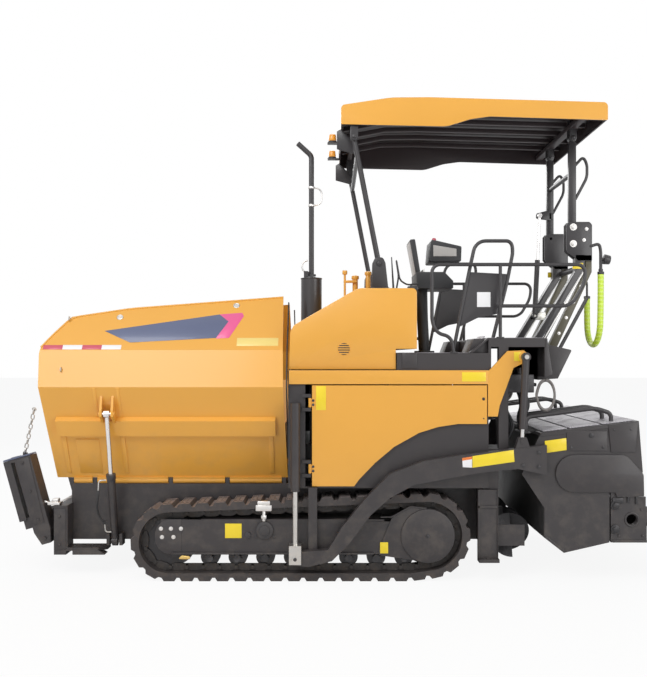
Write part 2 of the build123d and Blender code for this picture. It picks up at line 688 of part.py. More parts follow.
def exhaust_pipe():
    z0 = exhaust_pivot_z - 21
    up = pipe([(muffler_x, muffler_y, z0), (muffler_x, muffler_y, 3330),
               (muffler_x + 110, muffler_y, 3430)], exhaust_d, 60)
    flange = bar((muffler_x, muffler_y, z0), (muffler_x, muffler_y, z0 + 14), 74)
    tongue = block(muffler_x + 15, muffler_x + 45, muffler_y - 20, muffler_y + 20, z0 + 6, z0 + 34)
    tongue += bar((muffler_x + 45, muffler_y - 20, exhaust_pivot_z),
                  (muffler_x + 45, muffler_y + 20, exhaust_pivot_z), 30)
    hole = bar((muffler_x + 45, muffler_y - 30, exhaust_pivot_z), (muffler_x + 45, muffler_y + 30,
                                                                exhaust_pivot_z), 12 + 2 * pin_gap)
    return up + flange + tongue - hole


# ---- canopy ---------------------------------------------------------------------
def canopy_roof():
    """Roof skin with its swept lower edge, and hinge lugs for posts and hoop."""
    outer = side_plate([(canopy_x_front, 3492), (canopy_x_front, 3620), (canopy_x_front - 130, 3672),
                        (-1050, 3700), (-1800, 3672), (canopy_x_rear, 3650), (canopy_x_rear, 3523),
                        (-1210, 3554), (-1025, 3523), (-850, 3477)], -canopy_y, canopy_y)
    t = canopy_t
    inner = side_plate([(canopy_x_front - t, 3460), (canopy_x_front - t, 3610),
                        (canopy_x_front - 132, 3655), (-1050, 3683), (-1800, 3655),
                        (canopy_x_rear + t, 3635), (canopy_x_rear + t, 3460)],
                       -canopy_y + t, canopy_y - t)
    roof_skin = outer - inner
    roof = roof_skin
    for x, y, z in ((hoop_top_x, hoop_y, hoop_top_z), (post_pivot_x, post_y, post_top_z)):
        for shift in (-44, 30):
            ear = block(x - 28, x + 28, y + shift, y + shift + 14, z - 28, 3690) - roof_skin
            ear = ear.solids().sort_by(Axis.Z)[0]
            roof += ear
            roof += other_side(ear)
    pin = bar((post_pivot_x, post_y - 44, post_top_z), (post_pivot_x, post_y + 44, post_top_z), 24)
    roof += pin + other_side(pin)
    for side in (-1, 1):
        head = bar((hoop_top_x, hoop_y + side * 44, hoop_top_z),
                   (hoop_top_x, hoop_y + side * 52, hoop_top_z), 40)
        roof += head + other_side(head)
    return roof


def eyed_strut(low, high, diameter, pin_d, half_width):
    """A tube with an eye at both ends, for pins along Y."""
    strut = bar(low, high, diameter)
    for end in (low, high):
        strut += Plane(origin=end, z_dir=(0, 1, 0)) * Cylinder(24, 2 * half_width)
        strut -= Plane(origin=end, z_dir=(0, 1, 0)) * Cylinder(pin_d / 2 + pin_gap, 4 * half_width)
    return strut


def canopy_hoop():
    """Front hoop: two legs joined by a cross tube."""
    leg = eyed_strut((hoop_base_x, hoop_y, hoop_base_z), (hoop_top_x, hoop_y, hoop_top_z), 44, 24, 22)
    leg += bar((hoop_top_x, hoop_y - 30 + pin_gap, hoop_top_z),
               (hoop_top_x, hoop_y + 30 - pin_gap, hoop_top_z), 25)
    share = 0.86
    x = hoop_base_x + (hoop_top_x - hoop_base_x) * share
    z = hoop_base_z + (hoop_top_z - hoop_base_z) * share
    return leg + other_side(leg) + bar((x, -hoop_y, z), (x, hoop_y, z), 40)


def canopy_posts():
    """Two rear posts joined by a cross tube, with the lift cylinder's arm."""
    post = eyed_strut((post_pivot_x, post_y, post_pivot_z), (post_pivot_x, post_y, post_top_z),
                      48, 24, 22)
    parts = post + other_side(post)
    parts += bar((post_pivot_x, -post_y, 3200), (post_pivot_x, post_y, 3200), 40)
    arm = side_plate([(post_pivot_x, lift_eye_z - 40), (lift_eye_x + 24, lift_eye_z - 24),
                      (lift_eye_x + 24, lift_eye_z + 24), (post_pivot_x, lift_eye_z + 60)],
                     -lift_y - 42, -lift_y - 30)
    link = block(post_pivot_x - 20, post_pivot_x + 20, -post_y, -lift_y - 30,
                 lift_eye_z - 30, lift_eye_z + 30)
    head = bar((lift_eye_x, -lift_y - 50, lift_eye_z), (lift_eye_x, -lift_y - 42, lift_eye_z), 36)
    return parts + arm + link + head


def canopy_brackets():
    """Rear frame: foot plates, inclined beams and pivot plates; front hinge ears on the hood."""
    y = post_y
    beam = side_plate([(-1560, high_deck_z), (-1660, high_deck_z - 60), (-1560 - 60, high_deck_z - 68),
                       (-1570, high_deck_z - 68)], y - 40, y + 40)
    mast = side_plate([(-1577, high_deck_z - 68), (-1577, high_deck_z), (-1890, 2420), (-1890, 2560),
                       (-1905, 2690), (-1990, 2690), (-2090, 2560), (-2080, 2380),
                       (-1680, high_deck_z - 68)], y + 30, y + 44)
    mast_in = side_plate([(-1577, high_deck_z - 68), (-1577, high_deck_z), (-1890, 2420),
                          (-1890, 2560), (-1905, 2690), (-1990, 2690), (-2090, 2560),
                          (-2080, 2380), (-1680, high_deck_z - 68)], y - 44, y - 30)
    tie = block(-1620, -1577, y - 44, y + 44, high_deck_z - 68, high_deck_z - 20)
    back = bar((-2040, y - 44, 2440), (-2040, y + 44, 2440), 60)
    pin = bar((post_pivot_x, y - 44, post_pivot_z), (post_pivot_x, y + 44, post_pivot_z), 24)
    half = mast + mast_in + tie + back + pin
    base = bar((lift_base_x, -y + 30, lift_base_z), (lift_base_x, -lift_y + 24, lift_base_z), 20)
    return group(half, other_side(half) + base)


def canopy_cross_tube():
    """Tube between the two rear brackets."""
    reach = post_y - 44
    return bar((-2040, -reach, 2440), (-2040, reach, 2440), 50)


def hoop_brackets():
    """Hinge ears of the front hoop on the hood top."""
    parts = []
    z_hood = 2219
    for shift in (-44, 30):
        parts.append(block(hoop_base_x - 30, hoop_base_x + 30, hoop_y + shift, hoop_y + shift + 14,
                           z_hood, hoop_base_z + 28))
    foot = block(hoop_base_x - 60, hoop_base_x + 60, hoop_y - 60, hoop_y + 60, z_hood, z_hood + 14)
    pin = bar((hoop_base_x, hoop_y - 44, hoop_base_z), (hoop_base_x, hoop_y + 44, hoop_base_z), 24)
    return parts[0] + parts[1] + foot + pin


def canopy_lift():
    base = (lift_base_x, -lift_y, lift_base_z)
    eye = (lift_eye_x, -lift_y, lift_eye_z)
    barrel = bar(along(base, eye, 20), along(base, eye, 500), 44)
    barrel += Plane(origin=base, z_dir=(0, 1, 0)) * Cylinder(24, 36)
    barrel -= bar(along(base, eye, 60), along(base, eye, 505), 26)
    barrel -= Plane(origin=base, z_dir=(0, 1, 0)) * Cylinder(10 + pin_gap, 60)
    rod = bar(along(base, eye, 420), along(base, eye, 880), 25)
    rod += Plane(origin=eye, z_dir=(0, 1, 0)) * Cylinder(20, 30)
    rod += bar((lift_eye_x, -lift_y + 20, lift_eye_z), (lift_eye_x, -lift_y - 30 + pin_gap, lift_eye_z), 20)
    return barrel, rod


# ---- tow point, arms and screed ---------------------------------------------------
def levelling_barrel():
    """Fixed levelling cylinder barrel with its upper bracket and the guide post."""
    barrel = bar((level_x, tow_y, level_barrel_z_low), (level_x, tow_y, level_barrel_z_high), 70)
    barrel -= bar((level_x, tow_y, level_barrel_z_low - 1), (level_x, tow_y, 1250), 41)
    top = block(level_x - 35, level_x + 35, body_y, tow_y, 1290, 1350)
    low = block(level_x - 30, level_x + 30, body_y, tow_y - 30, 760, 800)
    return barrel + top + low


def guide_post():
    """Slide guide of the tow point beside the track, carried by the body's fender edge."""
    rail = block(150, 215, 984, 998, 215, 700)
    hanger = block(150, 215, body_y, 998, 700, 712)
    return rail + hanger


def tow_point():
    """Levelling rod with the tow fork at its foot."""
    rod = bar((level_x, tow_y, tow_z + 90), (level_x, tow_y, 900), 40)
    bridge = block(tow_x - 45, tow_x + 45, arm_y_in - 17, arm_y_out + 17, tow_z + 64, tow_z + 100)
    for y in (arm_y_in - 17, arm_y_out + 6):
        bridge += block(tow_x - 45, tow_x + 45, y, y + 11, tow_z - 40, tow_z + 100)
    hole = bar((tow_x, arm_y_in - 20, tow_z), (tow_x, arm_y_out + 20, tow_z), 40 + 2 * pin_gap)
    return rod + bridge - hole


def tow_pin():
    """The pin that the arm turns on."""
    return bar((tow_x, arm_y_in - 17, tow_z), (tow_x, arm_y_out + 17, tow_z), 40)


def tow_arm():
    """Curved arm from the tow eye back to the screed, with the lift cylinder's ears."""
    outline = [(tow_x, tow_z + tow_eye_r), *arm_upper, *arm_lower, (216, 133),
               (tow_x, tow_z - tow_eye_r)]
    arm = side_plate(outline, arm_y_in, arm_y_out)
    arm += bar((tow_x, arm_y_in, tow_z), (tow_x, arm_y_out, tow_z), 2 * tow_eye_r)
    for shift in (-32, 22):
        ear = side_plate([(slift_eye_x - 60, 1000), (slift_eye_x + 60, 1000),
                          (slift_eye_x + 28, slift_eye_z + 26), (slift_eye_x - 28, slift_eye_z + 26)],
                         tow_y + shift, tow_y + shift + 10)
        arm += ear
    for side in (-1, 1):
        arm += bar((slift_eye_x, tow_y + side * 32, slift_eye_z),
                   (slift_eye_x, tow_y + side * 38, slift_eye_z), 40)
    arm -= bar((tow_x, arm_y_in - 1, tow_z), (tow_x, arm_y_out + 1, tow_z), 40 + 2 * pin_gap)
    return arm


def screed_body():
    """Main screed: cross box with end plates, top deck and sole plate."""
    plate = side_plate(screed_side, screed_y - screed_plate_t, screed_y)
    top = side_plate([(-1534, 1123), (-2271, 1214), (-2271, 1190), (-1534, 1099)],
                     -screed_y + screed_plate_t, screed_y - screed_plate_t)
    front = side_plate([(-1560, 1096), (-1560, 335), (-1590, 325), (-1590, 1100)],
                       -screed_y + screed_plate_t, screed_y - screed_plate_t)
    sole = side_plate([(-1590, 320), (-1707, 221), (-2040, 296), (-2040, 326), (-1710, 260),
                       (-1590, 360)], -screed_y + screed_plate_t, screed_y - screed_plate_t)
    rear = block(-2040, -2010, -screed_y + screed_plate_t, screed_y - screed_plate_t, 300, 1150)
    for z in rail_z:
        rear += block(ext_x_front + seat_gap, -2040, -screed_y + screed_plate_t,
                      screed_y - screed_plate_t, z - 20, z + 20)
    mount = block(-1560, -1600, screed_y, arm_y_in, 840, 1030)
    return (top + front + sole + rear + plate + other_side(plate) + mount + other_side(mount))


def screed_extension():
    """Sliding rear screed section with its end plate and foot board."""
    inner = screed_y - screed_plate_t
    body = block(ext_x_front, ext_x_rear, ext_y_in, inner, ext_z_low, ext_z_high)
    body -= block(ext_x_front - 20, ext_x_rear + 20, ext_y_in + 20, inner - 20, ext_z_low + 20,
                  ext_z_high + 1)
    end = side_plate(ext_end, inner, screed_y)
    foot = block(ext_x_rear, foot_x_rear, ext_y_in, inner, 420, 450)
    hole = bar((tie_hole_x, inner - 30, tie_hole_z), (tie_hole_x, screed_y + 5, tie_hole_z),
               2 * tie_hole_r)
    return body + end + foot - hole


def screed_lift():
    base = (slift_top_x, tow_y, slift_top_z)
    eye = (slift_eye_x, tow_y, slift_eye_z)
    barrel = bar(along(base, eye, 25), along(base, eye, 540), 54)
    barrel += Plane(origin=base, z_dir=(0, 1, 0)) * Cylinder(34, 36)
    barrel -= bar(along(base, eye, 60), along(base, eye, 545), 33)
    barrel -= Plane(origin=base, z_dir=(0, 1, 0)) * Cylinder(17 + pin_gap, 60)
    length = (Vector(*eye) - Vector(*base)).length
    rod = bar(along(base, eye, 230), along(base, eye, length - 16), 32)
    rod += Plane(origin=eye, z_dir=(0, 1, 0)) * Cylinder(24, 36)
    rod += Plane(origin=eye, z_dir=(0, 1, 0)) * Cylinder(13, 44 - 2 * pin_gap)
    return barrel, rod


# ---- auger ---------------------------------------------------------------------
def auger(hand):
    """Shaft with flat half flights set left and right in turn, which make the screw."""
    shaft = bar((auger_x, auger_y_in, auger_z), (auger_x, auger_y_out, auger_z), 2 * auger_shaft_r)
    tilt = degrees(atan2(auger_pitch / 2, 2 * auger_r)) * hand
    count = int((auger_y_out - auger_y_in - 140) / (auger_pitch / 2)) + 1
    for i in range(count):
        y = auger_y_in + 70 + i * auger_pitch / 2
        side = 1 if i % 2 == 0 else -1
        disc = Cylinder(auger_r - 6, 12) & Pos(side * auger_r, 0, 0) * Box(2 * auger_r, 4 * auger_r, 60)
        shaft += Pos(auger_x, y, auger_z) * Rot(90, 0, 0) * Rot(tilt * side, 0, 0) * disc
    return shaft


def auger_support():
    """Centre gearbox, rear cross plates and the guard plates beside the tracks."""
    box = block(frame_x_rear - 170, frame_x_rear, -55, 55, 380, 590)
    box += block(auger_x - 70, frame_x_rear - 60, -55, 55, 220, 400)
    box -= bar((auger_x, -60, auger_z), (auger_x, 60, auger_z), 60)
    box += bar((auger_x, -74, auger_z), (auger_x, 74, auger_z), 58)
    guard = block(-1219, -1067, 930, 960, 151, 690)
    cross = block(-1120, -1105, frame_y_out, 930, 260, 690)
    foot = block(-1219, -1067, 930, 1025, 151, 176)
    foot -= Pos(rear_tie_x, rear_tie_y, 160) * Cylinder(tie_r, 100)
    side = guard + cross + foot
    return group(box, side, other_side(side))


def auger_end_bearings():
    """Outer bearing plates of the augers, carried by the guard plates."""
    plate = block(auger_x - 60, -1219, auger_y_out + 8, auger_y_out + 28, 260, 420)
    plate += block(-1219 - 1, -1150, auger_y_out + 8, 930, 300, 400)
    pin = bar((auger_x, auger_y_out + 0.5, auger_z), (auger_x, auger_y_out + 28, auger_z), 50)
    return plate + pin


# ---- write the nodes --------------------------------------------------------------
def main():
    os.makedirs("parts", exist_ok=True)
    left_track = track(track_y_in, track_y_out, chain_y_in, chain_y_out)
    write("track_left", left_track)
    write("track_right", other_side(left_track))
    write("track_frames", both(track_frame()))
    wheels = group(*track_wheels())
    write("track_wheels", both(wheels))
    write("chassis_frame", chassis_frame())
    write("front_frame", front_frame())
    write("push_rollers", push_rollers())
    flap = front_flap()
    write("front_flap_left", flap)
    write("front_flap_right", other_side(flap))
    chain = flap_chain()
    write("flap_chain_left", chain)
    write("flap_chain_right", other_side(chain))
    wing = hopper_wing()
    write("hopper_wing_left", wing)
    write("hopper_wing_right", other_side(wing))
    barrel, rod = hopper_cylinder()
    write("wing_barrel_left", barrel)
    write("wing_barrel_right", other_side(barrel))
    write("wing_rod_left", rod)
    write("wing_rod_right", other_side(rod))
    write("conveyor_chains", conveyor_chains())
    write("body_frame", body_frame())
    write("engine_block", engine_block())
    write("engine_hood", engine_hood())
    door = side_door()
    write("side_door_left", door)
    write("side_door_right", other_side(door))
    write("platform", platform())
    write("lift_brackets", both(lift_brackets()))
    write("lift_pins", both(lift_pin()))
    write("console", console())
    write("guard_rails", both(guard_rails()))
    write("seat_guards", both(seat_guards()))
    write("muffler", muffler())
    write("exhaust_pipe", exhaust_pipe())
    write("canopy_roof", canopy_roof())
    write("canopy_hoop", canopy_hoop())
    write("canopy_posts", canopy_posts())
    write("canopy_brackets", group(canopy_brackets(), both(hoop_brackets())))
    write("canopy_cross_tube", canopy_cross_tube())
    barrel, rod = canopy_lift()
    write("canopy_lift_barrel", barrel)
    write("canopy_lift_rod", rod)
    write("levelling_cylinders", both(group(levelling_barrel(), guide_post())))
    write("tow_points", both(tow_point()))
    write("tow_pins", both(tow_pin()))
    write("tow_arms", both(tow_arm()))
    write("screed_body", screed_body())
    extension = screed_extension()
    write("screed_extension_left", extension)
    write("screed_extension_right", other_side(extension))
    barrel, rod = screed_lift()
    write("screed_lift_barrels", both(barrel))
    write("screed_lift_rods", both(rod))
    write("auger_left", auger(1))
    write("auger_right", other_side(auger(1)))
    write("auger_support", group(auger_support(), both(auger_end_bearings())))


main()
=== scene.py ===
import bpy
import bmesh
import math
from mathutils import Matrix, Vector


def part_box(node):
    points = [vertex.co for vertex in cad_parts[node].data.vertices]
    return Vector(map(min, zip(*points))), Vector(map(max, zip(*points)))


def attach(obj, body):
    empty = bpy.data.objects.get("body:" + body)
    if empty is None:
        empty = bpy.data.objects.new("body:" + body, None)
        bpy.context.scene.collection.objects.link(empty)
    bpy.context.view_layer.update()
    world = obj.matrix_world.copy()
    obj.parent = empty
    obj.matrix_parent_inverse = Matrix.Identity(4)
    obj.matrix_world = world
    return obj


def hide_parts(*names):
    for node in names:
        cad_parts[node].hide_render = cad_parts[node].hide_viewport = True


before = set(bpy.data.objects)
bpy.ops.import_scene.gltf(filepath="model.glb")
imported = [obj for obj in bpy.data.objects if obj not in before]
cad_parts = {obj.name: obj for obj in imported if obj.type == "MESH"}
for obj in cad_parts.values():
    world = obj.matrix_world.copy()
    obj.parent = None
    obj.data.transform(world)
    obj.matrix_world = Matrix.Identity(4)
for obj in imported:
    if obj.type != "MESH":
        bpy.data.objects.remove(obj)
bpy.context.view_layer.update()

SIDES = (("left", 1), ("right", -1))


# ---- shader maths --------------------------------------------------------------
MIX_UNDER, MIX_OVER, MIX_RESULT = 6, 7, 2    # the colour sockets of a Mix node
WHITE = (1.0, 1.0, 1.0, 1.0)


def add_node(tree, kind, settings=None, inputs=None):
    """A shader node with its settings, and the values or links of its sockets."""
    made = tree.nodes.new(kind)
    for key, value in (settings or {}).items():
        setattr(made, key, value)
    for key, value in (inputs or {}).items():
        socket = made.inputs[key]
        if isinstance(value, Wire):
            tree.links.new(value.out, socket)
        elif isinstance(value, bpy.types.NodeSocket):
            tree.links.new(value, socket)
        else:
            socket.default_value = value
    return made


class Wire:
    """A shader socket that can be added, multiplied and compared."""

    def __init__(self, tree, out):
        self.tree = tree
        self.out = out

    def math(self, operation, *others, first=True, clamp=False):
        values = [self, *others] if first else [*others, self]
        node = add_node(self.tree, "ShaderNodeMath", {"operation": operation, "use_clamp": clamp},
                        dict(enumerate(values)))
        return Wire(self.tree, node.outputs[0])

    def __add__(self, other):
        return self.math("ADD", other)

    __radd__ = __add__

    def __mul__(self, other):
        return self.math("MULTIPLY", other)

    __rmul__ = __mul__

    def __sub__(self, other):
        return self.math("SUBTRACT", other)

    def __rsub__(self, other):
        return self.math("SUBTRACT", other, first=False)

    def above(self, limit):
        return self.math("GREATER_THAN", limit)

    def below(self, limit):
        return self.math("LESS_THAN", limit)

    def size(self):
        return self.math("ABSOLUTE")

    def held(self):
        return self.math("ADD", 0.0, clamp=True)

    def either(self, other):
        return self.math("MAXIMUM", other)

    def rise(self, start, end):
        """0 before start, 1 after end, smooth between."""
        node = add_node(self.tree, "ShaderNodeMapRange", {"interpolation_type": "SMOOTHSTEP"},
                        {"Value": self, "From Min": start, "From Max": end})
        return Wire(self.tree, node.outputs["Result"])


class Finish:
    """A procedural material built on a Principled shader and object coordinates."""

    def __init__(self, name, colour, roughness=0.4, metallic=0.0, coat=0.0, coat_rough=0.1):
        self.material = bpy.data.materials.new(name)
        self.material.use_nodes = True
        self.tree = self.material.node_tree
        self.tree.nodes.clear()
        self.tint = (*colour, 1.0)
        self.shader = self.node("ShaderNodeBsdfPrincipled", None,
                                {"Base Color": self.tint, "Roughness": roughness,
                                 "Metallic": metallic, "Coat Weight": coat,
                                 "Coat Roughness": coat_rough})
        self.node("ShaderNodeOutputMaterial", None, {"Surface": self.shader.outputs[0]})
        self.place = self.node("ShaderNodeTexCoord").outputs["Object"]

    def node(self, kind, settings=None, inputs=None):
        return add_node(self.tree, kind, settings, inputs)

    def noise(self, scale, detail=3.0, rough=0.5, stretch=(1, 1, 1)):
        where = self.node("ShaderNodeMapping", None, {"Vector": self.place, "Scale": stretch})
        made = self.node("ShaderNodeTexNoise", None, {"Vector": where.outputs[0], "Scale": scale,
                                                      "Detail": detail, "Roughness": rough})
        return Wire(self.tree, made.outputs["Fac"])

    def axis(self, name):
        parts = self.node("ShaderNodeSeparateXYZ", None, {"Vector": self.place})
        return Wire(self.tree, parts.outputs[name])

    def facing(self, name):
        normal = self.node("ShaderNodeTexCoord").outputs["Normal"]
        parts = self.node("ShaderNodeSeparateXYZ", None, {"Vector": normal})
        return Wire(self.tree, parts.outputs[name])

    def mix(self, mask, colour):
        """Paints a colour over what is there, where the mask is 1."""
        node = self.node("ShaderNodeMix", {"data_type": "RGBA"},
                         {"Factor": mask, MIX_UNDER: self.tint, MIX_OVER: (*colour, 1.0)})
        self.tint = node.outputs[MIX_RESULT]
        self.tree.links.new(self.tint, self.shader.inputs["Base Color"])

    def vary(self, socket, wire):
        self.tree.links.new(wire.out, self.shader.inputs[socket])

    def bump(self, height, distance, strength=1.0):
        made = self.node("ShaderNodeBump", None, {"Height": height, "Distance": distance,
                                                  "Strength": strength})
        self.tree.links.new(made.outputs[0], self.shader.inputs["Normal"])


def shade(rgb, factor):
    return tuple(channel * factor for channel in rgb)


# ---- finishes --------------------------------------------------------------------
YELLOW = (0.80, 0.39, 0.055)
CHARCOAL = (0.037, 0.032, 0.033)
BLACK = (0.035, 0.032, 0.034)
DUST = (0.22, 0.185, 0.15)


def paint(name, colour, roughness=0.34, coat=0.25, dust=0.25, dust_top=0.9, grain=1.0):
    """Machine paint: slight tone changes, dust low down and a faint orange peel."""
    made = Finish(name, colour, roughness, coat=coat, coat_rough=0.15)
    tone = made.noise(1.7, 4.0, 0.55)
    made.mix(tone.rise(0.35, 0.75) * 0.22, shade(colour, 0.86))
    patches = made.noise(9.0, 6.0, 0.62).rise(0.42, 0.72)
    low_down = 1.0 - made.axis("Z").rise(0.05, dust_top)
    made.mix((patches * low_down * dust).held(), DUST)
    specks = made.noise(160.0, 2.0, 0.6)
    made.vary("Roughness", (roughness - 0.05 + specks * 0.10 + patches * low_down * 0.25).held())
    made.bump(made.noise(420.0, 2.0) * 0.6 + specks * 0.4, 0.00025 * grain, 0.5)
    return made.material


def track_metal():
    """Dark steel with dry soil in the corners and rubbed tips."""
    made = Finish("track_metal", (0.045, 0.040, 0.038), 0.62, metallic=0.25)
    soil = made.noise(14.0, 6.0, 0.65).rise(0.45, 0.7)
    made.mix(soil * 0.5, (0.12, 0.095, 0.075))
    streak = made.noise(60.0, 3.0, 0.5, (1, 0.15, 1)).rise(0.55, 0.75)
    made.mix(streak * 0.35, (0.16, 0.15, 0.14))
    made.vary("Roughness", (0.5 + soil * 0.3).held())
    made.bump(made.noise(90.0, 5.0, 0.6), 0.0012, 0.6)
    return made.material


def bright_metal(name, colour=(0.62, 0.60, 0.57), roughness=0.28, marks=0.5):
    """Bare steel with turning marks and a few dull patches."""
    made = Finish(name, colour, roughness, metallic=1.0)
    dull = made.noise(22.0, 5.0, 0.6).rise(0.5, 0.75)
    made.mix(dull * marks, shade(colour, 0.55))
    lines = made.noise(260.0, 2.0, 0.5, (1, 1, 0.06))
    made.vary("Roughness", (roughness + dull * 0.22 + lines * 0.08).held())
    made.bump(lines, 0.00008, 0.4)
    return made.material


def cast_metal():
    made = Finish("cast_metal", (0.050, 0.048, 0.050), 0.45, metallic=0.55)
    rub = made.noise(11.0, 5.0, 0.6).rise(0.5, 0.72)
    made.mix(rub * 0.45, (0.16, 0.155, 0.16))
    made.vary("Roughness", (0.36 + rub * 0.2).held())
    made.bump(made.noise(70.0, 6.0, 0.6), 0.0009, 0.5)
    return made.material


def plain_plastic(name, colour, roughness=0.5):
    made = Finish(name, colour, roughness)
    grain = made.noise(700.0, 2.0, 0.5)
    made.vary("Roughness", (roughness - 0.06 + grain * 0.12).held())
    made.bump(grain, 0.0001, 0.5)
    return made.material


def roof_paint():
    """Yellow skin outside, dark ribbed lining under it."""
    made = Finish("roof_paint", YELLOW, 0.36, coat=0.2)
    tone = made.noise(1.4, 3.0)
    made.mix(tone.rise(0.4, 0.7) * 0.2, shade(YELLOW, 0.88))
    low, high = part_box("canopy_roof")
    wall = 0.0155
    inside = (made.axis("Y").size().below(high.y - wall) * made.axis("X").below(high.x - wall)
              * made.axis("X").above(low.x + wall))
    under = made.facing("Z").below(-0.3)
    skin_side = made.facing("Z").above(0.3)
    lining = (inside * (1.0 - skin_side)).either(under).held()
    made.mix(lining, (0.040, 0.030, 0.032))
    made.bump(made.noise(300.0, 2.0), 0.0002, 0.5)
    return made.material


def film(name, colour, roughness=0.35):
    """Printed foil: clear coat, slight fading and a fine grain."""
    made = Finish(name, colour, roughness, coat=0.3)
    fade = made.noise(6.0, 4.0, 0.6).rise(0.4, 0.75)
    made.mix(fade * 0.14, shade(colour, 0.8))
    grain = made.noise(500.0, 2.0)
    made.vary("Roughness", (roughness - 0.04 + grain * 0.08).held())
    made.bump(grain, 0.00005, 0.5)
    return made.material


def checker_plate():
    """Light tread plate: raised lozenges in two directions, worn bright on top."""
    made = Finish("checker_plate", (0.42, 0.40, 0.43), 0.42, metallic=0.35)
    pitch = 38.0
    x, y = made.axis("X") * pitch, made.axis("Y") * pitch
    lean, turned = x + y, x - y
    first = (lean * math.pi).math("SINE").size() * (turned * 2.0).math("SINE").size()
    second = (turned * math.pi).math("SINE").size() * (lean * 2.0).math("SINE").size()
    raised = first.rise(0.55, 0.8).either(second.rise(0.72, 0.9))
    made.mix(raised * 0.5, (0.62, 0.60, 0.62))
    grime = made.noise(8.0, 5.0, 0.6).rise(0.45, 0.7)
    made.mix(grime * 0.25, (0.20, 0.18, 0.18))
    made.vary("Roughness", (0.36 + grime * 0.25).held())
    made.bump(raised, 0.0015, 0.8)
    return made.material


def rubber(name, colour, roughness=0.62):
    made = Finish(name, colour, roughness)
    chalk = made.noise(12.0, 5.0, 0.6).rise(0.45, 0.75)
    made.mix(chalk * 0.3, (0.12, 0.11, 0.105))
    made.vary("Roughness", (roughness + chalk * 0.15).held())
    made.bump(made.noise(240.0, 3.0), 0.0003, 0.5)
    return made.material


def lens(name, colour):
    """Moulded lamp glass with fine upright flutes."""
    made = Finish(name, colour, 0.16, coat=0.6)
    flutes = (made.axis("X") * 900.0).math("SINE")
    made.mix(made.noise(30.0, 3.0).rise(0.4, 0.7) * 0.3, shade(colour, 0.7))
    made.vary("Roughness", (0.14 + made.noise(60.0, 2.0) * 0.06).held())
    made.bump(flutes, 0.0006, 0.6)
    return made.material


def sleeve_plastic():
    """Bright ribbed sleeve, stretched over the links of the chain inside, with a painted highlight
    on the ridges and painted shade in the creases.
    """
    made = Finish("barrier_sleeve", (0.62, 0.83, 0.05), 0.36, coat=0.3)
    links = (made.axis("Z") * 190.0).math("SINE")
    # painted highlight: paler bands on the ridges over the links
    made.mix(links.rise(-0.2, 0.9) * 0.4, (0.80, 0.93, 0.32))
    shaded_creases = made.noise(55.0, 4.0, 0.6)
    # painted shade: darker colour in the creases
    made.mix(shaded_creases.rise(0.55, 0.75) * 0.35, (0.42, 0.62, 0.03))
    made.vary("Roughness", (0.30 + shaded_creases * 0.14).held())
    made.bump(links * 0.6 + shaded_creases, 0.002, 0.7)
    return made.material


def shoe_metal():
    """Track shoes: dark flanks, and a painted highlight: the faces that look up on the upper run
    are painted paler, more so on the soil patches.
    """
    made = Finish("shoe_metal", (0.050, 0.043, 0.042), 0.6, metallic=0.15)
    soil = made.noise(14.0, 6.0, 0.65).rise(0.45, 0.7)
    made.mix(soil * 0.5, (0.12, 0.095, 0.08))
    # painted highlight: faces that look up, above 0.2 m, painted paler
    lit = made.facing("Z").rise(0.45, 0.9) * made.axis("Z").above(0.2)
    made.mix(lit * (0.55 + soil * 0.3), (0.34, 0.29, 0.28))
    made.vary("Roughness", (0.5 + soil * 0.3).held())
    made.bump(made.noise(90.0, 5.0, 0.6), 0.0012, 0.6)
    return made.material


def make_finishes():
    return {
        "yellow": paint("yellow_paint", YELLOW, dust=0.12, dust_top=1.0),
        "wing_yellow": paint("wing_paint", YELLOW, 0.38, dust=0.22, dust_top=1.5),
        "roof": roof_paint(),
        "charcoal": paint("charcoal_paint", CHARCOAL, 0.42, coat=0.1, dust=0.22, dust_top=1.3),
        "black": paint("black_tube_paint", BLACK, 0.38, coat=0.15, dust=0.1, dust_top=2.0),
        "olive": paint("olive_paint", (0.085, 0.075, 0.045), 0.45, coat=0.1),
        "track": track_metal(),
        "shoe": shoe_metal(),
        "bright": bright_metal("bright_steel"),
        "pale_steel": bright_metal("pale_steel", (0.74, 0.72, 0.70), 0.34, 0.3),
        "chrome": bright_metal("rod_chrome", (0.86, 0.84, 0.83), 0.16, 0.12),
        "brass": bright_metal("brass", (0.80, 0.56, 0.20), 0.35, 0.4),
        "cast": cast_metal(),
        "plastic": plain_plastic("black_plastic", (0.022, 0.022, 0.024), 0.48),
        "lining": plain_plastic("roof_lining_paint", (0.040, 0.030, 0.032), 0.42),
        "rubber": rubber("black_rubber", (0.018, 0.017, 0.017)),
        "hose": rubber("hose_rubber", (0.020, 0.020, 0.022), 0.45),
        "grey_hose": rubber("grey_hose_rubber", (0.22, 0.20, 0.19), 0.5),
        "checker": checker_plate(),
        "amber": lens("amber_lens", (0.90, 0.38, 0.03)),
        "sleeve": sleeve_plastic(),
        "film_blue": film("slate_blue_film", (0.105, 0.125, 0.215)),
        "film_slate": paint("slate_cap_paint", (0.085, 0.10, 0.17), 0.4),
        "film_pink": film("pink_film", (0.80, 0.105, 0.29)),
        "film_red": film("red_film", (0.60, 0.085, 0.13)),
        "film_white": film("white_film", (0.86, 0.85, 0.86)),
        "film_cream": film("cream_film", (0.86, 0.66, 0.20)),
        "film_yellow": film("yellow_film", (0.88, 0.66, 0.02)),
        "film_orange": film("orange_film", (0.80, 0.20, 0.03)),
        "film_grey": film("grey_film", (0.42, 0.40, 0.38)),
    }


SLOTS = {"yellow": "yellow", "wing_yellow": "yellow", "roof": "canopy_yellow",
         "charcoal": "charcoal", "black": "black_tube", "track": "track_steel",
         "shoe": "track_steel", "bright": "bright_steel", "chrome": "chrome", "cast": "cast",
         "plastic": "black_plastic"}

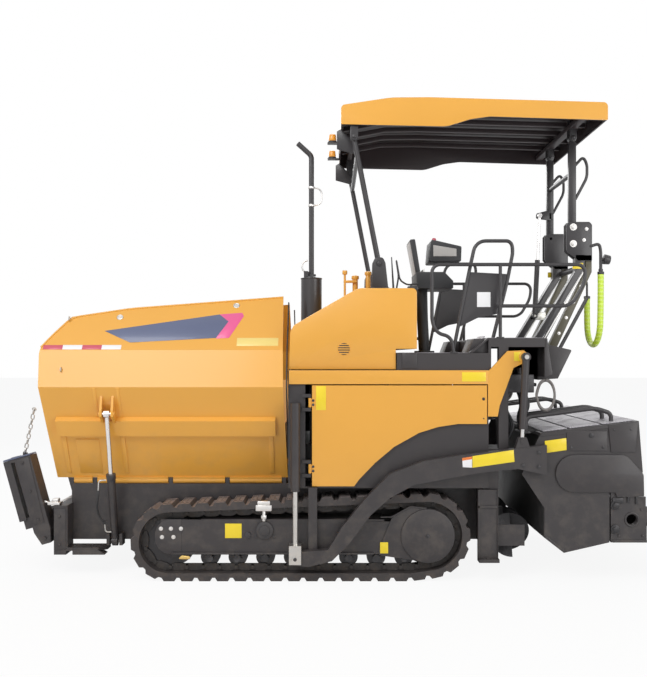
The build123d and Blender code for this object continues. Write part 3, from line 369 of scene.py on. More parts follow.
NODE_FINISH = {"track_left": "shoe", "track_right": "shoe", "track_wheels": "cast",
               "push_rollers": "bright", "flap_chain_left": "bright", "flap_chain_right": "bright",
               "hopper_wing_left": "wing_yellow", "hopper_wing_right": "wing_yellow",
               "wing_rod_left": "chrome", "wing_rod_right": "chrome", "conveyor_chains": "track",
               "engine_block": "cast", "engine_hood": "yellow", "side_door_left": "yellow",
               "side_door_right": "yellow", "lift_brackets": "yellow", "console": "plastic",
               "guard_rails": "black", "seat_guards": "black", "muffler": "black",
               "exhaust_pipe": "black", "canopy_roof": "roof", "canopy_hoop": "black",
               "canopy_posts": "black", "canopy_cross_tube": "black", "canopy_lift_barrel": "black",
               "canopy_brackets": "black", "canopy_lift_rod": "chrome", "tow_points": "bright",
               "tow_pins": "bright", "lift_pins": "bright", "screed_lift_rods": "chrome",
               "auger_left": "cast", "auger_right": "cast"}


def dress_nodes():
    for name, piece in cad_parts.items():
        piece.data.materials.clear()
        piece.data.materials.append(finishes[NODE_FINISH.get(name, "charcoal")])


# ---- shapes, in millimetres --------------------------------------------------------
MM = 0.001


def soften(part, width, segments=2):
    """Rounds the sharp edges of a closed part."""
    bmesh.ops.recalc_face_normals(part, faces=part.faces)
    if width:
        sharp = [edge for edge in part.edges if edge.is_manifold and edge.calc_face_angle() > 0.6]
        bmesh.ops.bevel(part, geom=sharp, offset=width, segments=segments, profile=0.5,
                        affect="EDGES", material=-1, clamp_overlap=True)


def toward(start, end, distance):
    return start + (end - start).normalized() * distance


class Shape:
    """A mesh under construction, in millimetres."""

    def __init__(self):
        self.mesh = bmesh.new()

    def take(self, part):
        """Adds a closed part with its faces turned outwards."""
        bmesh.ops.recalc_face_normals(part, faces=part.faces)
        loose = bpy.data.meshes.new("loose")
        part.to_mesh(loose)
        part.free()
        self.mesh.from_mesh(loose)
        bpy.data.meshes.remove(loose)

    def block(self, low, high, bevel=3):
        low, high = Vector(low), Vector(high)
        part = bmesh.new()
        bmesh.ops.create_cube(part, size=1,
                              matrix=Matrix.LocRotScale((low + high) / 2, None, high - low))
        soften(part, bevel)
        self.take(part)

    def panel(self, corners, reach, bevel=2):
        """A plate from corners (x, y, z) or (x, y, z, corner radius), pushed along reach."""
        part = bmesh.new()
        verts = [part.verts.new(corner[:3]) for corner in corners]
        part.faces.new(verts)
        count = len(corners)
        for i, corner in enumerate(corners):
            if len(corner) > 3 and corner[3]:
                before, here, after = (Vector(corners[(i + step) % count][:3])
                                       for step in (-1, 0, 1))
                half = (before - here).angle(after - here) / 2
                bmesh.ops.bevel(part, geom=[verts[i]], offset=corner[3] / math.tan(half),
                                segments=7, profile=0.5, affect="VERTICES", material=-1,
                                clamp_overlap=True)
        made = bmesh.ops.extrude_face_region(part, geom=part.faces[:], use_keep_orig=True)["geom"]
        moved = [item for item in made if isinstance(item, bmesh.types.BMVert)]
        bmesh.ops.translate(part, vec=Vector(reach), verts=moved)
        soften(part, bevel)
        self.take(part)

    def side(self, outline, y0, y1, bevel=2):
        """A plate whose outline lies in the XZ plane: (x, z) or (x, z, corner radius)."""
        self.panel([(x, y0, z, *radius) for x, z, *radius in outline], (0, y1 - y0, 0), bevel)

    def bar(self, start, end, radius, end_radius=None, sides=24, bevel=0):
        start, end = Vector(start), Vector(end)
        turn = (end - start).to_track_quat("Z", "Y")
        part = bmesh.new()
        bmesh.ops.create_cone(part, cap_ends=True, segments=sides, radius1=radius,
                              radius2=radius if end_radius is None else end_radius,
                              depth=(end - start).length,
                              matrix=Matrix.LocRotScale((start + end) / 2, turn, None))
        soften(part, bevel)
        self.take(part)

    def ring(self, centre, axis, radius, wire, steps=28, sides=10):
        centre, axis = Vector(centre), Vector(axis).normalized()
        across = axis.orthogonal().normalized()
        part = bmesh.new()
        face_on = axis.cross(across).to_track_quat("Z", "Y")
        bmesh.ops.create_circle(part, cap_ends=False, segments=sides, radius=wire,
                                matrix=Matrix.LocRotScale(centre + across * radius, face_on, None))
        bmesh.ops.spin(part, geom=part.edges[:] + part.verts[:], cent=centre, axis=axis,
                       angle=2 * math.pi, steps=steps, use_merge=True)
        self.take(part)

    def bolt(self, place, axis, across=24, height=11):
        place, axis = Vector(place), Vector(axis).normalized()
        self.bar(place, place + axis * 3, across * 0.72, sides=18)
        self.bar(place + axis * 3, place + axis * height, across / 2, sides=6, bevel=1.2)

    def take_curve(self, line, radius, fine):
        line.bevel_depth = radius
        line.bevel_resolution = fine
        line.use_fill_caps = True
        holder = bpy.data.objects.new("line", line)
        drawn = bpy.data.meshes.new_from_object(holder)
        part = bmesh.new()
        part.from_mesh(drawn)
        bmesh.ops.remove_doubles(part, verts=part.verts, dist=0.01)
        bpy.data.objects.remove(holder)
        bpy.data.meshes.remove(drawn)
        self.take(part)

    def tube(self, points, radius, bend=40, fine=3):
        """A bent pipe: straight runs with a round bend at each corner."""
        points = [Vector(point) for point in points]
        stops = [(points[0], points[0], toward(points[0], points[1], 5))]
        for before, here, after in zip(points, points[1:], points[2:]):
            setback = min(bend, 0.45 * (before - here).length, 0.45 * (after - here).length)
            into, out = toward(here, before, setback), toward(here, after, setback)
            stops.append((into, toward(into, before, 5), into.lerp(here, 0.56)))
            stops.append((out, out.lerp(here, 0.56), toward(out, after, 5)))
        stops.append((points[-1], toward(points[-1], points[-2], 5), points[-1]))
        line = bpy.data.curves.new("line", "CURVE")
        line.dimensions = "3D"
        line.resolution_u = 6
        spline = line.splines.new("BEZIER")
        spline.bezier_points.add(len(stops) - 1)
        for knot, (centre, left, right) in zip(spline.bezier_points, stops):
            knot.handle_left_type = knot.handle_right_type = "FREE"
            knot.co, knot.handle_left, knot.handle_right = centre, left, right
        self.take_curve(line, radius, fine)

    def hose(self, points, radius, fine=3):
        """A flexible hose between two fittings."""
        line = bpy.data.curves.new("line", "CURVE")
        line.dimensions = "3D"
        line.resolution_u = 8
        spline = line.splines.new("NURBS")
        spline.points.add(len(points) - 1)
        for knot, point in zip(spline.points, points):
            knot.co = (*point, 1)
        spline.order_u = 3
        spline.use_endpoint_u = True
        self.take_curve(line, radius, fine)


def place(name, shape, finish, body, flip=False, stands_for=()):
    """Turns a shape into a piece on a body, mirrored to the right side if flip is set."""
    build = shape.mesh
    if flip:
        bmesh.ops.scale(build, vec=(1, -1, 1), verts=build.verts)
        bmesh.ops.reverse_faces(build, faces=build.faces)
    bmesh.ops.scale(build, vec=(MM, MM, MM), verts=build.verts)
    mesh = bpy.data.meshes.new(name)
    build.to_mesh(mesh)
    build.free()
    mesh.shade_smooth()
    mesh.set_sharp_from_angle(angle=math.radians(38))
    mesh.materials.append(finishes[finish])
    piece = bpy.data.objects.new(name, mesh)
    bpy.context.scene.collection.objects.link(piece)
    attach(piece, body)
    finish in SLOTS
    if stands_for:
        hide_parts(*stands_for)
    return piece


def place_both(name, make, finish, body, stands_for=""):
    """The same shape on the left and the right; {} in a body or node is the side's name."""
    for side, sign in SIDES:
        nodes = [stands_for.format(side)] if stands_for else ()
        place(f"{name}_{side}", make(), finish, body.format(side), sign < 0, nodes)


# ---- hopper ---------------------------------------------------------------------
FOLD_Y, FOLD_Z = 905, 1748            # fold between the wing's middle and upper panel
RISE_Y, RISE_Z = -345, 452            # run of the upper panel from that fold
WING_OUT = Vector((0, -RISE_Z, RISE_Y)).normalized() * -1
FILM = WING_OUT * 1.1                 # thickness of the foils on that panel
STRIP = 149                           # length of one field of the warning strip


def on_wing(x, z, lift=0.4):
    """A point on the wing's upper panel."""
    point = Vector((x, FOLD_Y + (z - FOLD_Z) * RISE_Y / RISE_Z, z)) + WING_OUT * lift
    return tuple(point)


def wing_film(corners, lift=0.4):
    shape = Shape()
    shape.panel([on_wing(x, z, lift) for x, z in corners], FILM, 0.3)
    return shape


def wing_strip(colour_turn):
    """Every second field of the warning strip along the fold."""
    shape = Shape()
    for i in range(4):
        if i % 2 == colour_turn:
            front = 2245 - STRIP * i
            shape.panel([on_wing(front, 1752), on_wing(front, 1786), on_wing(front - STRIP, 1786),
                         on_wing(front - STRIP, 1752)], FILM, 0.3)
    return shape


def lower_skin_y(z):
    return 628 + (z - 740) * (1000 - 628) / (1468 - 740)


def wing_ribs():
    """Stiffeners below and above the folded beam, and the rolled lip of the top edge."""
    shape = Shape()
    for x in (490, 1640, 2095):
        shape.panel([(x, lower_skin_y(775) - 2, 775), (x, lower_skin_y(775) + 9, 779),
                     (x, lower_skin_y(1085) + 9, 1085), (x, lower_skin_y(1085) - 2, 1089)],
                    (34, 0, 0), 2)
    shape.panel([(1845, lower_skin_y(775), 775), (1845, lower_skin_y(775) + 5, 779),
                 (1845, lower_skin_y(1060) + 5, 1056), (1845, lower_skin_y(1060), 1060)],
                (180, 0, 0), 2)
    for x in (1640, 1820):
        shape.panel([(x, lower_skin_y(1235), 1235), (x, lower_skin_y(1235) + 7, 1238),
                     (x, lower_skin_y(1462) + 3, 1460), (x, lower_skin_y(1462), 1464)], (26, 0, 0),
                    1.5)
    edge = [(424, 2177), (1626, 2082), (2077, 2010), (2190, 1875), (2262, 1775)]
    shape.tube([on_wing(x, z - 6, 1) for x, z in edge], 7, 60)
    return shape


def wing_fittings():
    """Rings and discs of the two lifting holes, and the two rings at the front edge."""
    shape = Shape()
    for x, z in ((793, 2100), (1699, 2005)):
        here = Vector(on_wing(x, z, 0))
        shape.ring(here + WING_OUT * 1.5, WING_OUT, 21, 5)
        shape.bar(here + WING_OUT * 0.5, here + WING_OUT * 2, 17)
    here = Vector(on_wing(2089, 1985, 0))
    shape.ring(here + WING_OUT * 17, (1, 0.1, 0), 16, 5.5, 20, 8)
    low = Vector((2075, 950, 1600))
    shape.ring(low + Vector((12, 14, 0)), (1, 0, 0), 14, 5, 20, 8)
    return shape


def wing_seal():
    """Black strip along the wing's rear edge, in the black rubber finish: painted shade standing in
    for the shaded rear face of the wing's end wall.
    """
    section = [(700, 900), (990, 1462), (895, 1742), (600, 2130)]
    outline = ([(376, y + 14, z) for y, z in section]
               + [(376, y - 40, z - 4) for y, z in reversed(section)])
    shape = Shape()
    shape.panel(outline, (9, 0, 0), 1.5)
    return shape


def hopper_pieces():
    blue = [(1799, 1896), (920, 2028), (845, 1971), (931, 1841), (1588, 1805)]
    pink = [(922, 2029), (742, 2042), (728, 2016), (831, 1841), (930, 1836)]
    for side, sign in SIDES:
        body = f"wing_{side}"
        place(f"wing_band_blue_{side}", wing_film(blue, 0.9), "film_blue", body, sign < 0)
        place(f"wing_band_pink_{side}", wing_film(pink), "film_pink", body, sign < 0)
        place(f"wing_label_{side}", wing_film([(768, 1779), (768, 1841), (449, 1841), (449, 1779)]),
              "film_cream", body, sign < 0)
        place(f"wing_strip_red_{side}", wing_strip(0), "film_red", body, sign < 0)
        place(f"wing_strip_white_{side}", wing_strip(1), "film_white", body, sign < 0)
    place_both("wing_ribs", wing_ribs, "wing_yellow", "wing_{}")
    place_both("wing_fittings", wing_fittings, "bright", "wing_{}")
    # the black strip along the wing's rear edge is painted shade where the rear face of the wing's
    # end wall lies in shadow
    place_both("wing_seal", wing_seal, "rubber", "wing_{}")
    place_both("wing_pipe", wing_pipe, "bright", "wing_barrel_{}")
    place_both("wing_hose", wing_hose, "hose", "wing_barrel_{}")
    place_both("cylinder_collar", cylinder_collar, "black", "wing_barrel_{}")
    place_both("flap_chain_links", chain_links, "bright", "flap_{}", "flap_chain_{}")
    place_both("flap_cap", flap_cap, "film_slate", "flap_{}")
    place_both("flap_bar", flap_bar, "charcoal", "flap_{}")
    place_both("frame_latch", frame_latch, "pale_steel", "chassis")
    place_both("frame_feet", frame_feet, "charcoal", "chassis")


def wing_pipe():
    """Short steel pipes from the cylinder's ports."""
    shape = Shape()
    shape.tube([(1780, 830, 745), (1832, 845, 745), (1836, 845, 660)], 6, 22)
    shape.tube([(1760, 745, 330), (1800, 760, 330), (1806, 760, 400)], 6, 22)
    return shape


def wing_hose():
    shape = Shape()
    shape.hose([(1836, 845, 665), (1838, 842, 610), (1852, 826, 540), (1846, 790, 460),
                (1806, 762, 395)], 8)
    shape.bar((1836, 845, 668), (1836, 845, 640), 11, sides=6)
    shape.bar((1806, 760, 392), (1806, 760, 420), 11, sides=6)
    return shape


def cylinder_collar():
    """Gland nut at the open end of the hopper cylinder's barrel."""
    base, eye = Vector((1740, 690, 250)), Vector((1740, 965, 1264))
    shape = Shape()
    shape.bar(toward(base, eye, 522), toward(base, eye, 562), 37, sides=32, bevel=3)
    shape.bar(toward(base, eye, 505), toward(base, eye, 512), 34, sides=32, bevel=1)
    return shape


# ---- front flap -----------------------------------------------------------------
FLAP_PIN = Vector((2261, 0, 292))
LEAN = math.radians(15.5)


def on_flap(along, across, y=0):
    """A point of the leaning flap, from its pin: along its length and across its depth."""
    return (FLAP_PIN.x + along * math.sin(LEAN) + across * math.cos(LEAN), y,
            FLAP_PIN.z + along * math.cos(LEAN) - across * math.sin(LEAN))


def chain_links():
    """The transport chain's interlocked oval links, from the flap's shackle to the wing."""
    shape = Shape()
    low, high = Vector(on_flap(676, -15, 760)), Vector((2292, 955, 1300))
    wire, count = 4.6, 9
    way = (high - low).normalized()
    pitch = (high - low).length / count
    side_a = way.cross(Vector((0, 1, 0))).normalized()
    side_b = way.cross(side_a).normalized()
    for i in range(count):
        across = side_a if i % 2 else side_b
        middle = low + way * pitch * (i + 0.5)
        half, wide = pitch / 2 - 1, 12
        loop = [middle + across * wide, middle + across * wide + way * half,
                middle - across * wide + way * half, middle - across * wide - way * half,
                middle + across * wide - way * half, middle + across * wide]
        shape.tube(loop, wire, 11, 2)
    for end in (low, high):
        shape.ring(end, way.cross(side_a), 13, 5, 18, 8)
    return shape


def flap_cap():
    """Cap plate of the flap with its slot frame."""
    shape = Shape()
    cap = [on_flap(652, -62), on_flap(652, 157), on_flap(664, 150), on_flap(664, -56)]
    shape.panel([(x, 640, z) for x, _, z in cap], (0, 160, 0), 3)
    shape.panel([(x, 690, z) for x, _, z in (on_flap(664, 40), on_flap(664, 110), on_flap(668, 106),
                                            on_flap(668, 44))], (0, 60, 0), 1)
    return shape


def flap_bar():
    """Rounded front bar of the flap and its bolted foot."""
    shape = Shape()
    for y in (668, 772):
        shape.bar(on_flap(175, 128, y), on_flap(648, 128, y), 26, sides=28, bevel=5)
    shape.panel([(x, 800, z) for x, _, z in (on_flap(120, -30), on_flap(120, 60), on_flap(640, 60),
                                            on_flap(640, -48))], (0, 5, 0), 2)
    for along in (150, 380, 610):
        shape.bolt(on_flap(along, 10, 805), (0, 1, 0), 20, 9)
    return shape


def frame_latch():
    """Light latch block on the front corner post, with its pin."""
    shape = Shape()
    shape.block((2150, 700, 545), (2245, 790, 566), 5)
    shape.block((2165, 715, 566), (2215, 775, 592), 6)
    shape.bar((2245, 745, 556), (2300, 745, 572), 9, sides=16, bevel=1)
    return shape


def frame_feet():
    """Foot gussets and bolts of the front frame."""
    shape = Shape()
    shape.side([(2050, 161, 4), (1790, 161, 4), (1850, 196, 4), (2050, 196, 4)], 700, 792, 3)
    for z in (240, 460):
        shape.bolt((2150, 791, z), (0, 1, 0), 26, 12)
    shape.block((2100, 791, 200), (2190, 796, 520), 2)
    return shape


# ---- tracks ---------------------------------------------------------------------
IDLER_X, IDLER_Z, IDLER_R = 1269, 290, 290
SPROCKET_X, SPROCKET_Z, SPROCKET_R = -688, 340, 320
FLAT_END_X = -553
SHOES = 42
SHOE_INSET = 26                       # from the shoes' outer faces in to their feet
LINK_INSET = SHOE_INSET + 34 + 28     # past the belt's 34 mm, to the pins of the chain


def belt_place(inset):
    """A function from the distance along the belt to the point there and its direction."""
    front_r, rear_r = IDLER_R - inset, SPROCKET_R - inset
    low = IDLER_Z - front_r
    front, rear = Vector((IDLER_X, 0, IDLER_Z)), Vector((SPROCKET_X, 0, SPROCKET_Z))
    gap = front - rear
    rise = math.atan2(gap.z, gap.x) + math.pi / 2 - math.atan2(front_r - rear_r, gap.xz.length)
    ex, ez = SPROCKET_X - FLAT_END_X, SPROCKET_Z - low
    run = math.sqrt(ex * ex + ez * ez - rear_r * rear_r)
    away = math.atan2(ez, ex) + math.atan2(rear_r, run)
    low_rear = Vector((FLAT_END_X + run * math.cos(away), 0, low + run * math.sin(away)))
    end_turn = math.atan2(low_rear.z - rear.z, low_rear.x - rear.x) % (2 * math.pi)

    def round_at(centre, radius, turn):
        return centre + Vector((math.cos(turn), 0, math.sin(turn))) * radius

    stretches = [("line", round_at(front, front_r, rise), round_at(rear, rear_r, rise)),
                 ("arc", rear, rear_r, rise, end_turn),
                 ("line", low_rear, Vector((FLAT_END_X, 0, low))),
                 ("line", Vector((FLAT_END_X, 0, low)), Vector((IDLER_X, 0, low))),
                 ("arc", front, front_r, -math.pi / 2, rise)]
    lengths = [(s[1] - s[2]).length if s[0] == "line" else s[2] * (s[4] - s[3]) for s in stretches]
    total = sum(lengths)

    def there(distance):
        distance %= total
        for stretch, length in zip(stretches, lengths):
            if distance <= length:
                break
            distance -= length
        if stretch[0] == "line":
            way = (stretch[2] - stretch[1]).normalized()
            return stretch[1] + way * distance, way
        turn = stretch[3] + distance / stretch[2]
        return (round_at(stretch[1], stretch[2], turn),
                Vector((-math.sin(turn), 0, math.cos(turn))))

    return there, total, lengths[-1]


def track_shoes():
    """Low grouser bars and bolt heads on the shoes."""
    there, total, front_arc = belt_place(SHOE_INSET)
    pitch = total / SHOES
    first = (total - front_arc) % pitch
    shape = Shape()
    for shoe in range(SHOES):
        here, way = there(first + shoe * pitch)
        out = Vector((way.z, 0, -way.x))
        for share in (-0.26, 0, 0.26):
            corners = [here + way * (pitch * share - 6) + out * 24,
                       here + way * (pitch * share - 3.5) + out * 28.5,
                       here + way * (pitch * share + 3.5) + out * 28.5,
                       here + way * (pitch * share + 6) + out * 24]
            shape.panel([(c.x, 688, c.z) for c in corners], (0, 264, 0), 0)
        for y in (726, 914):
            for share in (-0.13, 0.13):
                spot = here + way * (pitch * share) + out * 24
                shape.bar((spot.x, y, spot.z), (spot.x + out.x * 5, y, spot.z + out.z * 5), 9,
                          sides=6)
    return shape


def track_chain():
    """Link plates and pin heads of the chain, seen from the side between shoe and frame."""
    there, total, _ = belt_place(LINK_INSET)
    pitch = total / SHOES
    shape = Shape()
    for link in range(SHOES):
        pin, _ = there(link * pitch)
        middle, way = there((link + 0.5) * pitch)
        out = Vector((way.z, 0, -way.x))
        corners = [middle + way * s * pitch * 0.5 + out * h
                   for s, h in ((-0.86, -22), (-0.5, -30), (0.5, -30), (0.86, -22), (0.86, 14),
                                (0.4, 26), (-0.4, 26), (-0.86, 14))]
        shape.panel([(c.x, 876, c.z) for c in corners], (0, 9, 0), 0)
        shape.bar((pin.x, 874, pin.z), (pin.x, 896, pin.z), 15, sides=12)
    return shape


HUB = [(-418, 481, 60), (-560, 560, 40), (-688, 538, 10), (-688, 140, 10), (-301, 194, 30)]


def hub_cover():
    """Swept guard plate over the sprocket, its round cover and its rim strip."""
    shape = Shape()
    shape.side(HUB, 941, 951, 2)
    shape.bar((SPROCKET_X, 934, SPROCKET_Z), (SPROCKET_X, 966, SPROCKET_Z), 204, sides=72, bevel=7)
    shape.side([(-680, 543, 30), (-560, 557, 60), (-418, 478, 40), (-330, 478, 5), (-330, 486, 5),
                (-414, 488, 40), (-556, 567, 60), (-680, 553, 30)], 941, 958, 2)
    return shape


def hub_plug():
    shape = Shape()
    shape.bar((SPROCKET_X, 962, SPROCKET_Z), (SPROCKET_X, 969, SPROCKET_Z), 12, sides=24, bevel=1.5)
    shape.ring((SPROCKET_X, 966.5, SPROCKET_Z), (0, 1, 0), 15, 2.5)
    return shape


def frame_front():
    """Rounded front end of the track frame's side plate, with its lower lip."""
    shape = Shape()
    shape.side([(1180, 463, 4), (1380, 463, 118), (1380, 199, 118), (1180, 199, 4)], 930, 943, 2)
    shape.side([(1250, 214, 3), (-280, 214, 3), (-280, 199, 3), (1250, 199, 3)], 938, 962, 3)
    return shape


def frame_bolts():
    shape = Shape()
    for x, z in ((1335, 393), (1259, 393), (1183, 393), (1327, 329), (1240, 329)):
        shape.bolt((x, 942, z), (0, 1, 0), 22, 10)
    return shape


def grease_valve():
    """Track tension valve: guard ring, stem and flat cap."""
    shape = Shape()
    shape.bar((553, 952, 452), (553, 952, 530), 14, sides=24, bevel=2)
    shape.bar((553, 952, 470), (553, 952, 496), 23, sides=6, bevel=2)
    shape.block((493, 925, 530), (614, 978, 575), 5)
    shape.block((505, 930, 574), (602, 972, 606), 6)
    return shape


def valve_base():
    shape = Shape()
    shape.bar((548, 938, 382), (548, 960, 382), 66, sides=40, bevel=5)
    shape.bar((548, 958, 382), (548, 972, 382), 38, sides=32, bevel=4)
    shape.bar((675, 938, 344), (675, 956, 344), 23, sides=28, bevel=3)
    for x in (478, 618):
        shape.bolt((x, 941, 330), (0, 1, 0), 18, 8)
    return shape


def track_pieces():
    place_both("track_shoes", track_shoes, "shoe", "chassis")
    place_both("track_chain_links", track_chain, "track", "chassis")
    place_both("hub_cover", hub_cover, "charcoal", "chassis")
    place_both("hub_plug", hub_plug, "cast", "chassis")
    place_both("frame_front", frame_front, "charcoal", "chassis")
    place_both("frame_bolts", frame_bolts, "pale_steel", "chassis")
    place_both("grease_valve", grease_valve, "pale_steel", "chassis")
    place_both("valve_base", valve_base, "black", "chassis")
    place_both("frame_label", lambda: plate(723, 849, 321, 431, 941), "film_yellow", "chassis")
    place_both("hub_label", lambda: plate(-388, -327, 207, 291, 951), "film_yellow", "chassis")
    place_both("gold_plug", lambda: dome(1156, 177, 948), "brass", "chassis")


def plate(x0, x1, z0, z1, y):
    """A blank foil or thin plate on a side face."""
    shape = Shape()
    shape.block((x0, y, z0), (x1, y + 1.6, z1), 0.4)
    return shape


def slanted(corners, y, thick=1.6):
    shape = Shape()
    shape.side(corners, y, y + thick, 0.4)
    return shape


def dome(x, z, y):
    shape = Shape()
    shape.side([(x - 49, z - 14, 10), (x - 40, z + 12, 14), (x + 20, z + 16, 14),
                (x + 49, z - 12, 8)], y, y + 14, 4)
    return shape


# ---- body -----------------------------------------------------------------------
HOOD = [(364, 1600, 4), (356, 1885, 60), (326, 1938, 40), (-92, 2181, 90), (-168, 2219, 90),
        (-609, 2219, 38), (-609, 1756, 6), (-449, 1756, 6), (-449, 1600, 4)]


def hood_shell():
    """Engine hood with rounded edges, one closed sheet over the engine."""
    shape = Shape()
    shape.side(HOOD, -930, 930, 9)
    return shape


def hood_louvre():
    shape = Shape()
    shape.bar((-54, 926, 1756), (-54, 931.5, 1756), 47, sides=48, bevel=1)
    return shape


def louvre_slats():
    shape = Shape()
    shape.ring((-54, 931, 1756), (0, 1, 0), 48, 3)
    for i in range(-2, 3):
        rise = i * 17.0
        half = math.sqrt(46 ** 2 - rise ** 2)
        shape.block((-54 - half, 928, 1756 + rise - 4.4), (-54 + half, 935, 1756 + rise + 4.4), 1.5)
    return shape


def hood_top_fittings():
    """Three capped stubs on the hood's slope, and the block between two of them."""
    shape = Shape()
    shape.bar((-150, 560, 2160), (-150, 560, 2320), 22, sides=28, bevel=4)
    shape.bar((-150, 560, 2314), (-150, 560, 2346), 30, sides=28, bevel=8)
    shape.bar((-66, 600, 2150), (-66, 600, 2360), 9, sides=20)
    shape.bar((-66, 600, 2350), (-66, 600, 2384), 20, sides=24, bevel=6)
    shape.block((-160, 560, 2286), (-56, 606, 2306), 5)
    shape.bar((-252, 590, 2200), (-252, 590, 2350), 20, sides=28, bevel=4)
    shape.bar((-252, 590, 2344), (-252, 590, 2376), 28, sides=28, bevel=8)
    return shape


def hood_rods():
    """Two thin upright rods and a lever behind the hoop's foot."""
    shape = Shape()
    shape.bar((-448, 690, 2210), (-432, 690, 2480), 9, 4, sides=12)
    shape.tube([(-470, 660, 2215), (-490, 660, 2330), (-470, 660, 2470), (-500, 660, 2300),
                (-560, 660, 2262), (-640, 660, 2275)], 7, 26)
    shape.block((-640, 620, 2215), (-560, 700, 2252), 5)
    return shape


def muffler_ring():
    shape = Shape()
    shape.ring((203, 450, 2016), (0.52, 0, 0.86), 92, 9, 40, 10)
    shape.ring((203, 450, 2330), (0, 0, 1), 82, 6, 40, 8)
    return shape


def exhaust_fittings():
    """Lifting handle with its two clamps, and the lower loop, of the exhaust pipe."""
    shape = Shape()
    shape.tube([(182, 450, 2925), (140, 450, 2935), (118, 450, 2960), (118, 450, 3030),
                (140, 450, 3062), (182, 450, 3070)], 6, 26)
    for z in (2925, 3070):
        shape.bar((203, 450, z - 9), (203, 450, z + 9), 26, sides=28, bevel=2)
    shape.tube([(232, 450, 2480), (270, 450, 2470), (282, 450, 2420), (262, 450, 2385),
                (235, 450, 2380)], 7, 22)
    return shape


def door_fittings():
    """Hinge bolts, lock and pull of the side door."""
    shape = Shape()
    for z in (1350, 850):
        for rise in (-16, 16):
            shape.bolt((180, 970, z + rise), (0, 1, 0), 14, 6)
    shape.ring((-1108, 971, 1378), (0, 1, 0), 9, 2.6, 20, 8)
    shape.bar((-1108, 969, 1378), (-1108, 972.5, 1378), 6.5, sides=20, bevel=0.6)
    shape.bar((-1108, 969, 1230), (-1108, 972.5, 1230), 5, sides=16, bevel=0.6)
    return shape


def sill_strip():
    """Yellow strip above the doors, as long as the body."""
    shape = Shape()
    shape.side([(363, 1489, 3), (363, 1594, 3), (-1150, 1594, 3), (-1150, 1489, 3)], 945, 969, 2)
    return shape


def bracket_boss():
    shape = Shape()
    shape.bar((-1413, 946, 1695), (-1413, 974, 1695), 40, sides=40, bevel=3)
    shape.bar((-1413, 972, 1695), (-1413, 980, 1695), 24, sides=32, bevel=2)
    return shape


def body_pieces():
    place("hood_shell", hood_shell(), "yellow", "chassis", stands_for=("engine_hood",))
    place_both("hood_louvre", hood_louvre, "plastic", "chassis")
    place_both("louvre_slats", louvre_slats, "yellow", "chassis")
    place("hood_fittings", hood_top_fittings(), "yellow", "chassis")
    place("hood_rods", hood_rods(), "black", "chassis")
    place("muffler_rings", muffler_ring(), "black", "chassis")
    place("exhaust_fittings", exhaust_fittings(), "pale_steel", "exhaust_pipe")
    place_both("door_fittings", door_fittings, "cast", "door_{}")
    place_both("door_label", lambda: plate(83, 158, 1294, 1476, 970.4), "film_yellow", "door_{}")
    place_both("sill_strip", sill_strip, "yellow", "chassis")
    place_both("sill_label", lambda: plate(-1126, -945, 1510, 1580, 969.4), "film_yellow",
               "chassis")
    place_both("bracket_boss", bracket_boss, "yellow", "chassis")
    place_both("bracket_label", lambda: plate(-1391, -1338, 1665, 1733, 970.4), "film_yellow",
               "chassis")


# ---- operator's place -------------------------------------------------------------
LOW_DECK, HIGH_DECK, RAIL_Y = 1725, 1839, 925


def side_rail():
    """Bent guard rail with its post and two feet."""
    shape = Shape()
    shape.tube([(-890, RAIL_Y, LOW_DECK), (-872, RAIL_Y, 1847), (-761, RAIL_Y, 1877),
                (-723, RAIL_Y, 1960), (-723, RAIL_Y, 2398), (-1887, RAIL_Y, 2398),
                (-1887, RAIL_Y, 2265), (-1781, RAIL_Y, 2083), (-1243, RAIL_Y, 2083)], 14, 62)
    shape.bar((-1243, RAIL_Y, HIGH_DECK), (-1243, RAIL_Y, 2398), 13)
    for x in (-890, -1243):
        low = LOW_DECK if x > -1150 else HIGH_DECK
        shape.bar((x, RAIL_Y, low), (x, RAIL_Y, low + 9), 30, sides=28, bevel=2)
    return shape


def seat_guard():
    """Bent hoop beside the operator's place with its infill plate."""
    y = RAIL_Y - 60
    shape = Shape()
    shape.tube([(-891, y, LOW_DECK), (-1014, y, 2347), (-1066, y, 2585), (-1336, y, 2585),
                (-1352, y, 2508), (-1306, y, 2270), (-1198, y, HIGH_DECK)], 14, 74)
    shape.side([(-1014, 2347, 14), (-1313, 2331, 14), (-1233, 2025, 14), (-1079, 1994, 90),
                (-925, 1917, 14)], y - 3, y + 3, 1.5)
    return shape


def guard_badge():
    """Blank square plate on the seat guard."""
    shape = Shape()
    shape.side([(-1075, 2192, 3), (-1178, 2192, 3), (-1178, 2078, 3), (-1075, 2078, 3)],
               RAIL_Y - 57, RAIL_Y - 54.5, 0.6)
    return shape


def deck_steps():
    """Box and dark wedge step between the two decks."""
    shape = Shape()
    shape.side([(-1150, HIGH_DECK - 4, 6), (-1044, HIGH_DECK - 4, 6), (-1000, LOW_DECK, 4),
                (-1150, LOW_DECK, 4)], 560, 905, 3)
    shape.block((-607, 940, 1608), (-494, 952, 1725), 4)
    shape.side([(-1000, LOW_DECK + 2, 2), (-1140, 1838, 2), (-1160, 1838, 2),
                (-1030, LOW_DECK + 2, 2)], 905, 948, 2)
    return shape


def checker_step():
    shape = Shape()
    shape.panel([(-1052, 500, 1742, 6), (-1150, 500, 1852, 6), (-1150, 800, 1852, 6),
                 (-1052, 800, 1742, 6)], (7, 0, 6), 1.5)
    shape.block((-1140, -880, LOW_DECK + 0.5), (-500, 880, LOW_DECK + 4), 1)
    shape.block((-1570, -880, HIGH_DECK + 0.5), (-1160, 880, HIGH_DECK + 4), 1)
    return shape


